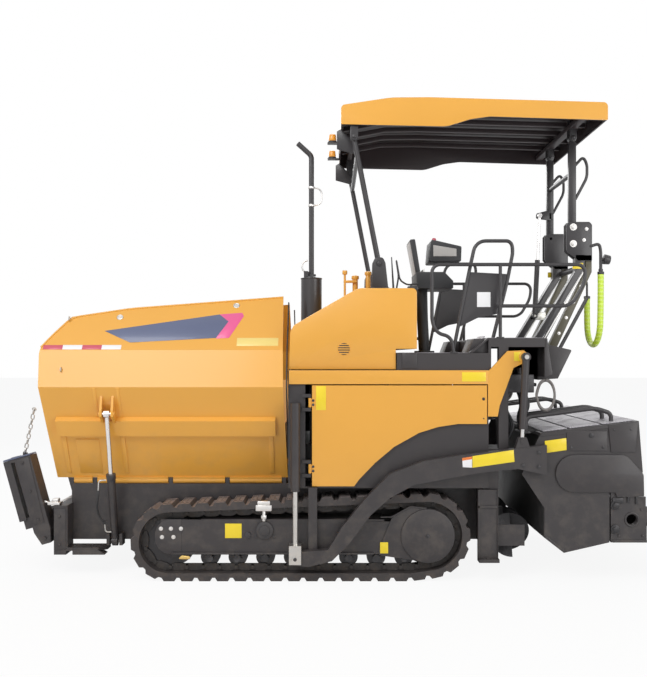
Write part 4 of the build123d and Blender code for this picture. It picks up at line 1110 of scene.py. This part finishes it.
def rear_box():
    """Folded cross box behind the upper deck, and the wider wedge at its front."""
    shape = Shape()
    outline = [(-1578, 1514, 6), (-1578, 1811, 6), (-1849, 1749, 10), (-1739, 1525, 6)]
    shape.side(outline, -700, 700, 3)
    shape.side([(-1578, 1540, 6), (-1578, 1838, 6), (-1600, 1838, 6), (-1640, 1560, 6)],
               -930, 930, 3)
    return shape


def screen_box():
    """Tilted screen panel, control boxes and column of the console."""
    shape = Shape()
    shape.side([(-640, 2342, 6), (-668, 2342, 6), (-672, 2380, 4), (-630, 2640, 8),
                (-588, 2636, 8)], 246, 556, 4)
    shape.side([(-745, 2458, 12), (-998, 2458, 14), (-1002, 2580, 14), (-760, 2636, 12)],
               232, 568, 5)
    shape.side([(-640, 2240, 8), (-930, 2240, 8), (-930, 2300, 8), (-860, 2372, 12),
                (-634, 2372, 8)], 194, 606, 5)
    shape.tube([(-700, 400, 2240), (-705, 400, 2000), (-720, 400, 1735)], 46, 60)
    shape.bar((-720, 400, 1726), (-720, 400, 1744), 82, sides=36, bevel=3)
    return shape


def screen_face():
    shape = Shape()
    shape.side([(-586, 2620, 4), (-634, 2362, 4), (-641, 2362, 4), (-594, 2622, 4)], 262, 540, 1)
    shape.side([(-775, 2500, 4), (-960, 2500, 4), (-960, 2560, 4), (-775, 2590, 4)], 568, 571, 1)
    return shape


def red_knob():
    shape = Shape()
    shape.bar((-797, 420, 2610), (-797, 420, 2640), 8, sides=20)
    shape.bar((-797, 420, 2638), (-797, 420, 2664), 20, 15, sides=28, bevel=5)
    return shape


def switches():
    """Short levers and round buttons on the console."""
    shape = Shape()
    for i in range(6):
        y = 240 + i * 56
        shape.bar((-700, y, 2370), (-706, y, 2404), 7, 5, sides=14, bevel=1)
    for i in range(3):
        y = 300 + i * 90
        shape.bar((-880, y, 2592), (-884, y, 2612), 13, sides=24, bevel=2)
    return shape


def operator_pieces():
    place_both("side_rail", side_rail, "black", "chassis")
    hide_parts("guard_rails")
    place_both("seat_guard", seat_guard, "black", "chassis")
    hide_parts("seat_guards")
    place_both("guard_badge", guard_badge, "film_white", "chassis")
    place_both("deck_steps", deck_steps, "charcoal", "chassis")
    place("deck_tread", checker_step(), "checker", "chassis")
    place("rear_box", rear_box(), "charcoal", "chassis")
    place("console_body", screen_box(), "plastic", "chassis", stands_for=("console",))
    place("console_face", screen_face(), "film_grey", "chassis")
    place("red_knob", red_knob(), "film_red", "chassis")
    place("console_switches", switches(), "pale_steel", "chassis")


# ---- canopy ---------------------------------------------------------------------
ROOF = [(-33, 3492, 8), (-33, 3640, 34), (-420, 3698, 600), (-720, 3700, 600), (-2093, 3661, 34),
        (-2093, 3523, 8), (-1182, 3551, 150), (-1030, 3530, 250), (-849, 3474, 200)]
POST_X, POST_Y, PIVOT_Z, POST_TOP = -1937, 370, 2756, 3490
HOOP_FOOT, HOOP_HEAD, HOOP_Y = (-328, 2420), (-135, 3405), 750
LAMP_PLACES = (-300, 300)             # across the roof
ROOF_WALL, ROOF_EDGE = 0.014, 0.006   # in metres, for the modifiers


def roof_sheet():
    """Moulded roof: smooth crown, swept side edges, open below."""
    shape = Shape()
    shape.side(ROOF, -825, 825, 0)
    build = shape.mesh
    under = [face for face in build.faces if face.normal.z < -0.5]
    bmesh.ops.delete(build, geom=under, context="FACES")
    bmesh.ops.recalc_face_normals(build, faces=build.faces)
    top = max(build.faces, key=lambda face: face.calc_center_median().z)
    if top.normal.z < 0:
        bmesh.ops.reverse_faces(build, faces=build.faces)
    return shape


def roof_lining():
    """Lengthwise ribs and cross members under the roof."""
    shape = Shape()
    for y in (-560, -280, 0, 280, 560):
        shape.side([(-60, 3566, 3), (-60, 3606, 3), (-420, 3672, 200), (-720, 3676, 200),
                    (-2070, 3636, 3), (-2070, 3600, 3), (-720, 3636, 200), (-420, 3632, 200)],
                   y - 17, y + 17, 3)
    shape.bar((-135, -780, 3560), (-135, 780, 3560), 22)
    shape.block((-1965, -790, 3560), (-1905, 790, 3600), 4)
    return shape


def roof_ears():
    """Hinge lugs and pins for the posts and the hoop."""
    shape = Shape()
    for sign in (-1, 1):
        for x, y, z in ((HOOP_HEAD[0], HOOP_Y, HOOP_HEAD[1]), (POST_X, POST_Y, POST_TOP)):
            for shift in (-44, 30):
                low = sorted((sign * (y + shift), sign * (y + shift + 14)))
                shape.side([(x - 30, 3668, 3), (x + 30, 3640, 3), (x + 30, z - 4, 26),
                            (x + 14, z - 30, 12), (x - 14, z - 30, 12), (x - 30, z - 4, 26)],
                           low[0], low[1], 2)
            shape.bar((x, sign * (y - 56), z), (x, sign * (y + 56), z), 12, sides=24, bevel=1)
            shape.bolt((x, sign * (y + 44), z), (0, sign, 0), 30, 13)
    for y in LAMP_PLACES:
        shape.block((-33, y - 40, 3462), (-27, y + 40, 3552), 2)
        shape.block((-33, y - 40, 3462), (73, y + 40, 3468), 2)
    for y in (-640, 640):
        shape.side([(-33, 3500, 5), (-2, 3480, 5), (-2, 3340, 5), (-150, 3300, 10),
                    (-156, 3380, 5)], y - 3, y + 3, 1)
    return shape


def roof_lamp_feet():
    shape = Shape()
    for y in LAMP_PLACES:
        shape.bar((31, y, 3468), (31, y, 3482), 37, sides=40, bevel=3)
    return shape


def roof_lamps():
    shape = Shape()
    for y in LAMP_PLACES:
        shape.bar((31, y, 3482), (31, y, 3540), 33, 28, sides=40, bevel=9)
    return shape


def square_post():
    """Square rear post with its eyes and grab handle."""
    shape = Shape()
    shape.block((POST_X - 30, POST_Y - 25, PIVOT_Z + 30), (POST_X + 30, POST_Y + 25, POST_TOP - 30),
                6)
    for z in (PIVOT_Z, POST_TOP):
        shape.bar((POST_X, POST_Y - 22, z), (POST_X, POST_Y + 22, z), 34, sides=36, bevel=2)
    handle = [(POST_X - 28, POST_Y, 3270), (POST_X - 92, POST_Y, 3340),
              (POST_X - 124, POST_Y, 3280), (POST_X - 124, POST_Y, 3170),
              (POST_X - 28, POST_Y, 2990)]
    shape.tube(handle, 12, 34)
    return shape


def post_cross():
    """Cross tube of the posts and the arm of the canopy's lift cylinder."""
    shape = Shape()
    shape.bar((POST_X, -POST_Y, 3200), (POST_X, POST_Y, 3200), 20)
    shape.side([(-1937, 2917, 8), (-1801, 2933, 18), (-1801, 2981, 18), (-1937, 3017, 8)],
               -327, -315, 2)
    shape.block((-1957, -370, 2927), (-1917, -315, 2987), 4)
    shape.bar((-1825, -335, 2957), (-1825, -327, 2957), 18, sides=28, bevel=2)
    return shape


def mast():
    """Leaning mast: dark front bar, brace, pivot plates and pin."""
    y = POST_Y
    shape = Shape()
    shape.side([(-1577, 1775, 3), (-1640, 1775, 3), (-2030, 2420, 8), (-2030, 2530, 4),
                (-1955, 2530, 4), (-1955, 2395, 8)], y - 44, y + 44, 4)
    shape.block((-2091, y - 44, 2480), (-1965, y + 44, 2530), 4)
    for low, high in ((y - 44, y - 30), (y + 30, y + 44)):
        shape.side([(-1900, 2543, 6), (-1980, 2480, 6), (-2091, 2480, 8), (-2091, 2776, 24),
                    (-2070, 2799, 18), (-1900, 2799, 10), (-1880, 2776, 10), (-1880, 2565, 8)],
                   low, high, 2)
    shape.bar((-1835, y, 1760), (-2062, y, 2180), 15)
    shape.bar((POST_X, y - 44, PIVOT_Z), (POST_X, y + 44, PIVOT_Z), 12)
    return shape


def mast_rear():
    y = POST_Y
    shape = Shape()
    shape.side([(-1725, 1760, 3), (-1800, 1760, 3), (-2091, 2390, 8), (-2091, 2480, 4),
                (-2040, 2480, 4), (-2040, 2405, 8)], y - 34, y + 34, 4)
    return shape


def mast_bolts():
    y = POST_Y + 44
    shape = Shape()
    for x, z, size in ((-1937, 2756, 40), (-1937, 2620, 40), (-2045, 2740, 20), (-2025, 2650, 20)):
        shape.bolt((x, y, z), (0, 1, 0), size, size * 0.42)
    for i in range(4):
        share = 0.2 + i * 0.2
        shape.bolt((-1762 - share * 300, POST_Y + 34, 1760 + share * 640), (0, 1, 0), 18, 8)
    shape.side([(-1672, 1800, 2), (-1684, 1800, 2), (-2036, 2400, 2), (-2026, 2404, 2)],
               POST_Y + 20, POST_Y + 26, 1)
    return shape


def mast_reflector():
    shape = Shape()
    shape.side([(-1930, 2462, 3), (-2016, 2462, 3), (-2016, 2414, 3), (-1930, 2414, 3)],
               POST_Y + 45, POST_Y + 50, 1)
    return shape


def hoop_leg():
    """Leg of the front hoop with its bushed ends."""
    (x0, z0), (x1, z1) = HOOP_FOOT, HOOP_HEAD
    shape = Shape()
    shape.bar((x0, HOOP_Y, z0), (x1, HOOP_Y, z1), 21, sides=32)
    for x, z in (HOOP_FOOT, HOOP_HEAD):
        shape.bar((x, HOOP_Y - 22, z), (x, HOOP_Y + 22, z), 25, sides=32, bevel=2)
    return shape


def hoop_cross():
    share = 0.86
    x = HOOP_FOOT[0] + (HOOP_HEAD[0] - HOOP_FOOT[0]) * share
    z = HOOP_FOOT[1] + (HOOP_HEAD[1] - HOOP_FOOT[1]) * share
    shape = Shape()
    shape.bar((x, -HOOP_Y, z), (x, HOOP_Y, z), 19)
    return shape


def hoop_foot():
    """Rounded hinge plates on the hood with their bolts."""
    x, z = HOOP_FOOT
    shape = Shape()
    shape.block((x - 80, HOOP_Y - 64, 2219), (x + 70, HOOP_Y + 64, 2231), 3)
    for low in (HOOP_Y - 46, HOOP_Y + 30):
        shape.side([(x - 72, 2228, 3), (x + 56, 2228, 3), (x + 50, z + 6, 30), (x + 30, z + 48, 28),
                    (x - 30, z + 48, 28), (x - 50, z + 6, 30)], low, low + 16, 2)
    shape.bolt((x, HOOP_Y + 46, z), (0, 1, 0), 34, 14)
    for dx in (-62, 52):
        shape.bolt((x + dx, HOOP_Y + 50, 2231), (0, 0, 1), 20, 10)
    return shape


def rear_lamp():
    """Round working lamp on its bent pipe, and the hook of the barrier chain."""
    shape = Shape()
    shape.tube([(-2075, 407, 2598), (-2150, 407, 2622), (-2163, 407, 2560), (-2163, 407, 2384)],
               13, 26)
    shape.tube([(-2040, 67, 2440), (-2110, 67, 2400), (-2148, 67, 2340), (-2148, 67, 2200)], 9, 34)
    shape.bar((-2185, 407, 2494), (-2238, 407, 2486), 42, 36, sides=40, bevel=5)
    shape.bar((-2160, 407, 2492), (-2190, 407, 2492), 13, sides=20)
    return shape


def sleeve_ends():
    shape = Shape()
    shape.bar((-2163, 407, 2392), (-2163, 407, 2368), 27, sides=32, bevel=4)
    shape.bar((-2148, 67, 2214), (-2148, 67, 2190), 27, sides=32, bevel=4)
    shape.ring((-2163, 407, 2404), (0, 1, 0), 15, 4.5, 20, 8)
    return shape


def canopy_pieces():
    roof = place("roof_sheet", roof_sheet(), "roof", "canopy", stands_for=("canopy_roof",))
    wall = roof.modifiers.new("wall", "SOLIDIFY")
    wall.thickness = ROOF_WALL
    wall.offset = -1
    roof.data.materials.append(finishes["lining"])
    wall.material_offset = 1
    edge = roof.modifiers.new("edge", "BEVEL")
    edge.width = ROOF_EDGE
    edge.segments = 2
    edge.limit_method = "ANGLE"
    edge.angle_limit = math.radians(40)
    place("roof_lining", roof_lining(), "lining", "canopy")
    place("roof_ears", roof_ears(), "black", "canopy")
    place("roof_lamps", roof_lamps(), "amber", "canopy")
    place("roof_lamp_feet", roof_lamp_feet(), "plastic", "canopy")
    place_both("rear_post", square_post, "black", "canopy_posts")
    place("post_cross", post_cross(), "black", "canopy_posts", stands_for=("canopy_posts",))
    place_both("mast", mast, "black", "chassis")
    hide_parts("canopy_brackets")
    place_both("mast_rear", mast_rear, "olive", "chassis")
    place_both("mast_bolts", mast_bolts, "pale_steel", "chassis")
    place_both("mast_reflector", mast_reflector, "film_yellow", "chassis")
    place_both("hoop_leg", hoop_leg, "black", "canopy_hoop")
    place("hoop_cross", hoop_cross(), "black", "canopy_hoop", stands_for=("canopy_hoop",))
    place_both("hoop_foot", hoop_foot, "black", "chassis")
    place("rear_lamp", rear_lamp(), "black", "chassis")
    place("lift_base_pin", lift_base(), "bright", "chassis")


def lift_base():
    shape = Shape()
    shape.block((-1890, -340, 2025), (-1750, -326, 2095), 4)
    shape.bar((-1780, -340, 2060), (-1780, -261, 2060), 10)
    return shape


SLEEVE = [(-2.163, 0.407, 2.384), (-2.163, 0.407, 2.190), (-2.160, 0.409, 2.030),
          (-2.157, 0.406, 1.911), (-2.154, 0.342, 1.822), (-2.152, 0.238, 1.788),
          (-2.150, 0.133, 1.822), (-2.150, 0.069, 1.911), (-2.148, 0.067, 2.060),
          (-2.148, 0.067, 2.206)]


def barrier_sleeve():
    """Sleeved barrier chain hanging in a loop from its two hooks."""
    line = bpy.data.curves.new("barrier_sleeve", "CURVE")
    line.dimensions = "3D"
    line.resolution_u = 14
    line.bevel_depth = 0.025
    line.bevel_resolution = 6
    line.use_fill_caps = True
    spline = line.splines.new("NURBS")
    spline.points.add(len(SLEEVE) - 1)
    for knot, point in zip(spline.points, SLEEVE):
        knot.co = (*point, 1)
    spline.order_u = 3
    spline.use_endpoint_u = True
    line.materials.append(finishes["sleeve"])
    piece = bpy.data.objects.new("barrier_sleeve", line)
    bpy.context.scene.collection.objects.link(piece)
    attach(piece, "chassis")
    ends = place("sleeve_ends", sleeve_ends(), "black", "chassis")


# ---- tow arms, screed, auger guards and hoses ---------------------------------------
ARM_FACE, SCREED_FACE = 1080, 1000
DECK_FRONT, DECK_REAR = (-1534, 1123), (-2271, 1214)


def deck_z(x):
    """Height of the screed's sloping deck."""
    (x0, z0), (x1, z1) = DECK_FRONT, DECK_REAR
    return z0 + (x - x0) * (z1 - z0) / (x1 - x0)


def arm_fittings():
    """Bolts and pin cap of the tow arm."""
    shape = Shape()
    shape.bar((312, 1078, 192), (312, 1090, 192), 42, sides=40, bevel=4)
    shape.bolt((312, 1088, 192), (0, 1, 0), 30, 12)
    shape.bolt((-1383, 1081, 890), (0, 1, 0), 22, 9)
    shape.bolt((-1500, 1081, 985), (0, 1, 0), 22, 9)
    shape.bolt((-1500, 1081, 880), (0, 1, 0), 22, 9)
    return shape


def screed_cover():
    """Rounded end cover, stiffening plates and edge strips on the screed's end."""
    shape = Shape()
    shape.side([(-1642, 678, 141), (-1642, 960, 141), (-2170, 960, 90), (-2302, 815, 40),
                (-2306, 649, 12), (-2100, 641, 12), (-2092, 678, 12)], 999, 1019, 3)
    shape.side([(-1727, 1138, 4), (-2031, 1138, 4), (-2031, 990, 4), (-1727, 990, 4)], 999, 1008, 2)
    shape.side([(-2039, 1186, 4), (-2264, 1204, 4), (-2240, 980, 4), (-2060, 980, 4)], 999, 1010, 2)
    shape.side([(-1534, 1119, 3), (-2267, 1210, 3), (-2264, 1186, 3), (-1534, 1095, 3)],
               994, 1006, 2)
    shape.side([(-1560, 335, 3), (-1707, 223, 3), (-1707, 245, 3), (-1572, 350, 3)], 996, 1006, 2)
    return shape


def screed_plug():
    shape = Shape()
    shape.bar((-1911, 1006, 1105), (-1911, 1014, 1105), 19, sides=32, bevel=3)
    for x, z in ((-1760, 1015), (-2000, 1015), (-2210, 1150), (-2080, 1150)):
        shape.bar((x, 1007, z), (x, 1014, z), 9, sides=6, bevel=1)
    return shape


def deck_rail():
    """Bent grab rail on the screed's deck with its feet."""
    shape = Shape()
    points = [(-1453, 1118), (-1453, 1232), (-1701, 1264), (-1985, 1302), (-2108, 1262),
              (-2108, 1190)]
    for y in (850, 620):
        shape.tube([(x, y, z) for x, z in points], 17, 44)
    for x, z in ((-1453, 1114), (-2108, 1195)):
        shape.block((x - 34, 590, z - 6), (x + 34, 880, z + 6), 3)
    return shape


def deck_treads():
    """Light tread plates on the screed's sloping deck."""
    shape = Shape()
    for x0, x1 in ((-1560, -1740), (-1760, -1990), (-2010, -2250)):
        z0, z1 = deck_z(x0), deck_z(x1)
        shape.panel([(x0, -960, z0 + 2, 5), (x1, -960, z1 + 2, 5), (x1, 960, z1 + 2, 5),
                     (x0, 960, z0 + 2, 5)], (0, 0, 8), 2)
    return shape


def front_apron():
    """Dark curved apron of the screed's front wall."""
    shape = Shape()
    shape.side([(-1556, 1090, 4), (-1572, 1090, 4), (-1600, 560, 4), (-1588, 330, 4),
                (-1558, 345, 4), (-1552, 700, 60)], -975, 975, 2)
    return shape


def slide_guides():
    """Guide tubes, lock nuts and clamp of the extension."""
    shape = Shape()
    for z in (400, 580):
        shape.bar((-2090, 1000, z), (-2090, 1012, z), 34, sides=32, bevel=3)
        shape.bar((-2090, 1010, z), (-2090, 1024, z), 22, sides=6, bevel=2)
    shape.block((-2150, 1000, 596), (-2070, 1014, 636), 4)
    shape.bar((-2190, 1004, 600), (-2190, 1004, 655), 11, sides=20, bevel=2)
    shape.bar((-2250, 1004, 590), (-2250, 1004, 648), 9, sides=20, bevel=2)
    return shape


def extension_face():
    """Bolted ring round the towing hole and the edge strip of the extension's end plate."""
    shape = Shape()
    shape.ring((-2218, 1001, 472), (0, 1, 0), 50, 7, 40, 8)
    for x, z in ((-2120, 350), (-2300, 350), (-2120, 560), (-2290, 545)):
        shape.bolt((x, 1000, z), (0, 1, 0), 18, 7)
    shape.side([(-2070, 300, 3), (-2331, 300, 3), (-2331, 318, 3), (-2070, 318, 3)], 999, 1008, 2)
    return shape


def auger_guard():
    """Upright guard plate behind the track with its slot frame."""
    shape = Shape()
    shape.side([(-1219, 176, 3), (-1214, 176, 3), (-1214, 690, 3), (-1219, 690, 3)], 960, 972, 1)
    shape.side([(-1081, 176, 3), (-1067, 176, 3), (-1067, 690, 3), (-1081, 690, 3)], 960, 972, 1)
    shape.side([(-1219, 553, 3), (-1067, 553, 3), (-1067, 570, 3), (-1219, 570, 3)], 960, 972, 1)
    shape.block((-1227, 885, 690), (-1150, 944, 985), 3)
    shape.bolt((-1190, 945, 905), (0, 1, 0), 22, 9)
    return shape


def rear_hoses():
    """Hydraulic hoses from below the deck to the screed."""
    shape = Shape()
    for i in range(5):
        y = 640 + i * 38
        shape.hose([(-1330 - i * 12, y, 1520), (-1400, y, 1500), (-1470 - i * 10, y, 1330),
                    (-1425, y, 1200), (-1480 + i * 12, y, 1110), (-1600, y, 1120)], 11)
    for i in range(3):
        y = 800 + i * 30
        shape.hose([(-1250, y, 1500), (-1290, y, 1300), (-1340 - i * 15, y, 1180), (-1310, y, 1060),
                    (-1290, y, 1010)], 9)
    return shape


def valve_block():
    shape = Shape()
    shape.block((-1520, 560, 1420), (-1310, 840, 1560), 6)
    for i in range(5):
        y = 590 + i * 52
        shape.bar((-1415, y, 1560), (-1415, y, 1612), 17, sides=6, bevel=2)
        shape.bar((-1520, y, 1480), (-1545, y, 1480), 14, sides=6, bevel=2)
    return shape


def hose_coil():
    """Grey hose coil tied behind the lift cylinder."""
    shape = Shape()
    for i in range(4):
        centre = Vector((-1620 + i * 5, 800 + i * 17, 1395 + (i % 2) * 9))
        points = [centre + Vector((72 * math.cos(turn), 0, 122 * math.sin(turn)))
                  for turn in (j * math.pi / 5 for j in range(11))]
        shape.hose([tuple(point) for point in points], 8.5)
    shape.bar((-1615, 790, 1515), (-1615, 862, 1515), 13, sides=16, bevel=2)
    return shape


def rear_pieces():
    place_both("arm_fittings", arm_fittings, "black", "screed")
    arm_label = [(-1006, 958), (-1312, 1005), (-1319, 916), (-1006, 872)]
    place_both("arm_label", lambda: slanted(arm_label, ARM_FACE + 0.3), "film_yellow", "screed")
    white = [(-930, 944), (-1003, 956), (-1003, 873), (-934, 876)]
    place_both("arm_label_white", lambda: slanted(white, ARM_FACE + 0.3), "film_white", "screed")
    orange = [(-930, 944), (-1003, 956), (-1003, 936), (-931, 924)]
    place_both("arm_label_orange", lambda: slanted(orange, ARM_FACE + 0.8, 1.9), "film_orange",
               "screed")
    screed_label = [(-1561, 1064), (-1723, 1086), (-1726, 996), (-1568, 973)]
    place_both("screed_label", lambda: slanted(screed_label, SCREED_FACE + 6.5), "film_yellow",
               "screed")
    place_both("screed_cover", screed_cover, "charcoal", "screed")
    place_both("screed_plug", screed_plug, "cast", "screed")
    place_both("deck_rail", deck_rail, "black", "screed")
    place("deck_treads", deck_treads(), "checker", "screed")
    place("front_apron", front_apron(), "rubber", "screed")
    place_both("slide_guides", slide_guides, "cast", "screed")
    place_both("extension_face", extension_face, "charcoal", "extension_{}")
    place_both("auger_guard", auger_guard, "charcoal", "chassis")
    place_both("rear_hoses", rear_hoses, "hose", "chassis")
    place_both("valve_block", valve_block, "cast", "chassis")
    place_both("hose_coil", hose_coil, "grey_hose", "chassis")


# ---- stage, light and camera --------------------------------------------------------
FLOOR_HALF = 60.0      # metres
FLOOR_GLOW = 0.90      # share of the floor that shows plain white to the camera
FLOOR_PALE = (0.95, 0.95, 0.95, 1.0)
SKY, SKY_STRENGTH = (0.96, 0.98, 1.0, 1.0), 0.46


def make_stage():
    """Pale floor that keeps the machine's shadow."""
    floor = bpy.data.meshes.new("floor")
    shape = bmesh.new()
    bmesh.ops.create_grid(shape, x_segments=1, y_segments=1, size=FLOOR_HALF)
    shape.to_mesh(floor)
    shape.free()
    piece = bpy.data.objects.new("floor", floor)
    bpy.context.scene.collection.objects.link(piece)
    material = bpy.data.materials.new("pale_floor")
    material.use_nodes = True
    tree = material.node_tree
    tree.nodes.clear()
    plain = add_node(tree, "ShaderNodeBsdfDiffuse", None, {"Color": FLOOR_PALE})
    glow = add_node(tree, "ShaderNodeEmission", None, {"Color": WHITE, "Strength": 1.0})
    rays = add_node(tree, "ShaderNodeLightPath").outputs
    share = Wire(tree, rays["Is Camera Ray"]) * FLOOR_GLOW
    blend = add_node(tree, "ShaderNodeMixShader", None,
                     {0: share, 1: plain.outputs[0], 2: glow.outputs[0]})
    add_node(tree, "ShaderNodeOutputMaterial", None, {"Surface": blend.outputs[0]})
    floor.materials.append(material)


def make_world():
    """Soft sky that shows plain white to the camera, in metal and in glass."""
    world = bpy.data.worlds.new("soft_studio")
    bpy.context.scene.world = world
    world.use_nodes = True
    tree = world.node_tree
    tree.nodes.clear()
    rays = add_node(tree, "ShaderNodeLightPath").outputs
    seen, glossy, through = (Wire(tree, rays[ray]) for ray in
                             ("Is Camera Ray", "Is Glossy Ray", "Is Transmission Ray"))
    light = add_node(tree, "ShaderNodeBackground", None, {"Color": SKY, "Strength": SKY_STRENGTH})
    white = add_node(tree, "ShaderNodeBackground", None, {"Color": WHITE, "Strength": 1.0})
    blend = add_node(tree, "ShaderNodeMixShader", None,
                     {0: seen.either(glossy).either(through), 1: light.outputs[0],
                      2: white.outputs[0]})
    add_node(tree, "ShaderNodeOutputWorld", None, {"Surface": blend.outputs[0]})


def make_light(name, place, aim, size, power):
    lamp = bpy.data.lights.new(name, "AREA")
    lamp.shape = "RECTANGLE"
    lamp.size, lamp.size_y = size
    lamp.energy = power
    piece = bpy.data.objects.new(name, lamp)
    bpy.context.scene.collection.objects.link(piece)
    piece.location = place
    piece.rotation_euler = (Vector(aim) - Vector(place)).to_track_quat("-Z", "Y").to_euler()


def make_lights():
    middle = (0.0, 0.0, 1.4)
    make_light("key", (3.5, 6.5, 7.0), middle, (5.0, 5.0), 400)
    make_light("side_fill", (-6.0, 6.0, 3.0), middle, (4.0, 4.0), 155)
    make_light("back_fill", (0.0, -7.5, 6.0), middle, (6.0, 4.0), 225)


def make_camera():
    """The view square to the machine's left side, from standing height."""
    view = bpy.data.cameras.new("camera")
    view.sensor_width = 36.0
    view.lens = 47.8582
    view.shift_x, view.shift_y = -0.0081241, 0.0243722
    piece = bpy.data.objects.new("camera", view)
    bpy.context.scene.collection.objects.link(piece)
    piece.location = (0.060, 7.770, 1.710)
    piece.rotation_euler = (math.radians(90), 0, math.radians(180))
    bpy.context.scene.camera = piece


finishes = make_finishes()
make_camera()
barrier_sleeve()
dress_nodes()
hopper_pieces()
track_pieces()
body_pieces()
operator_pieces()
canopy_pieces()
rear_pieces()
make_stage()
make_world()
make_lights()
bpy.context.scene.view_settings.view_transform = "Standard"
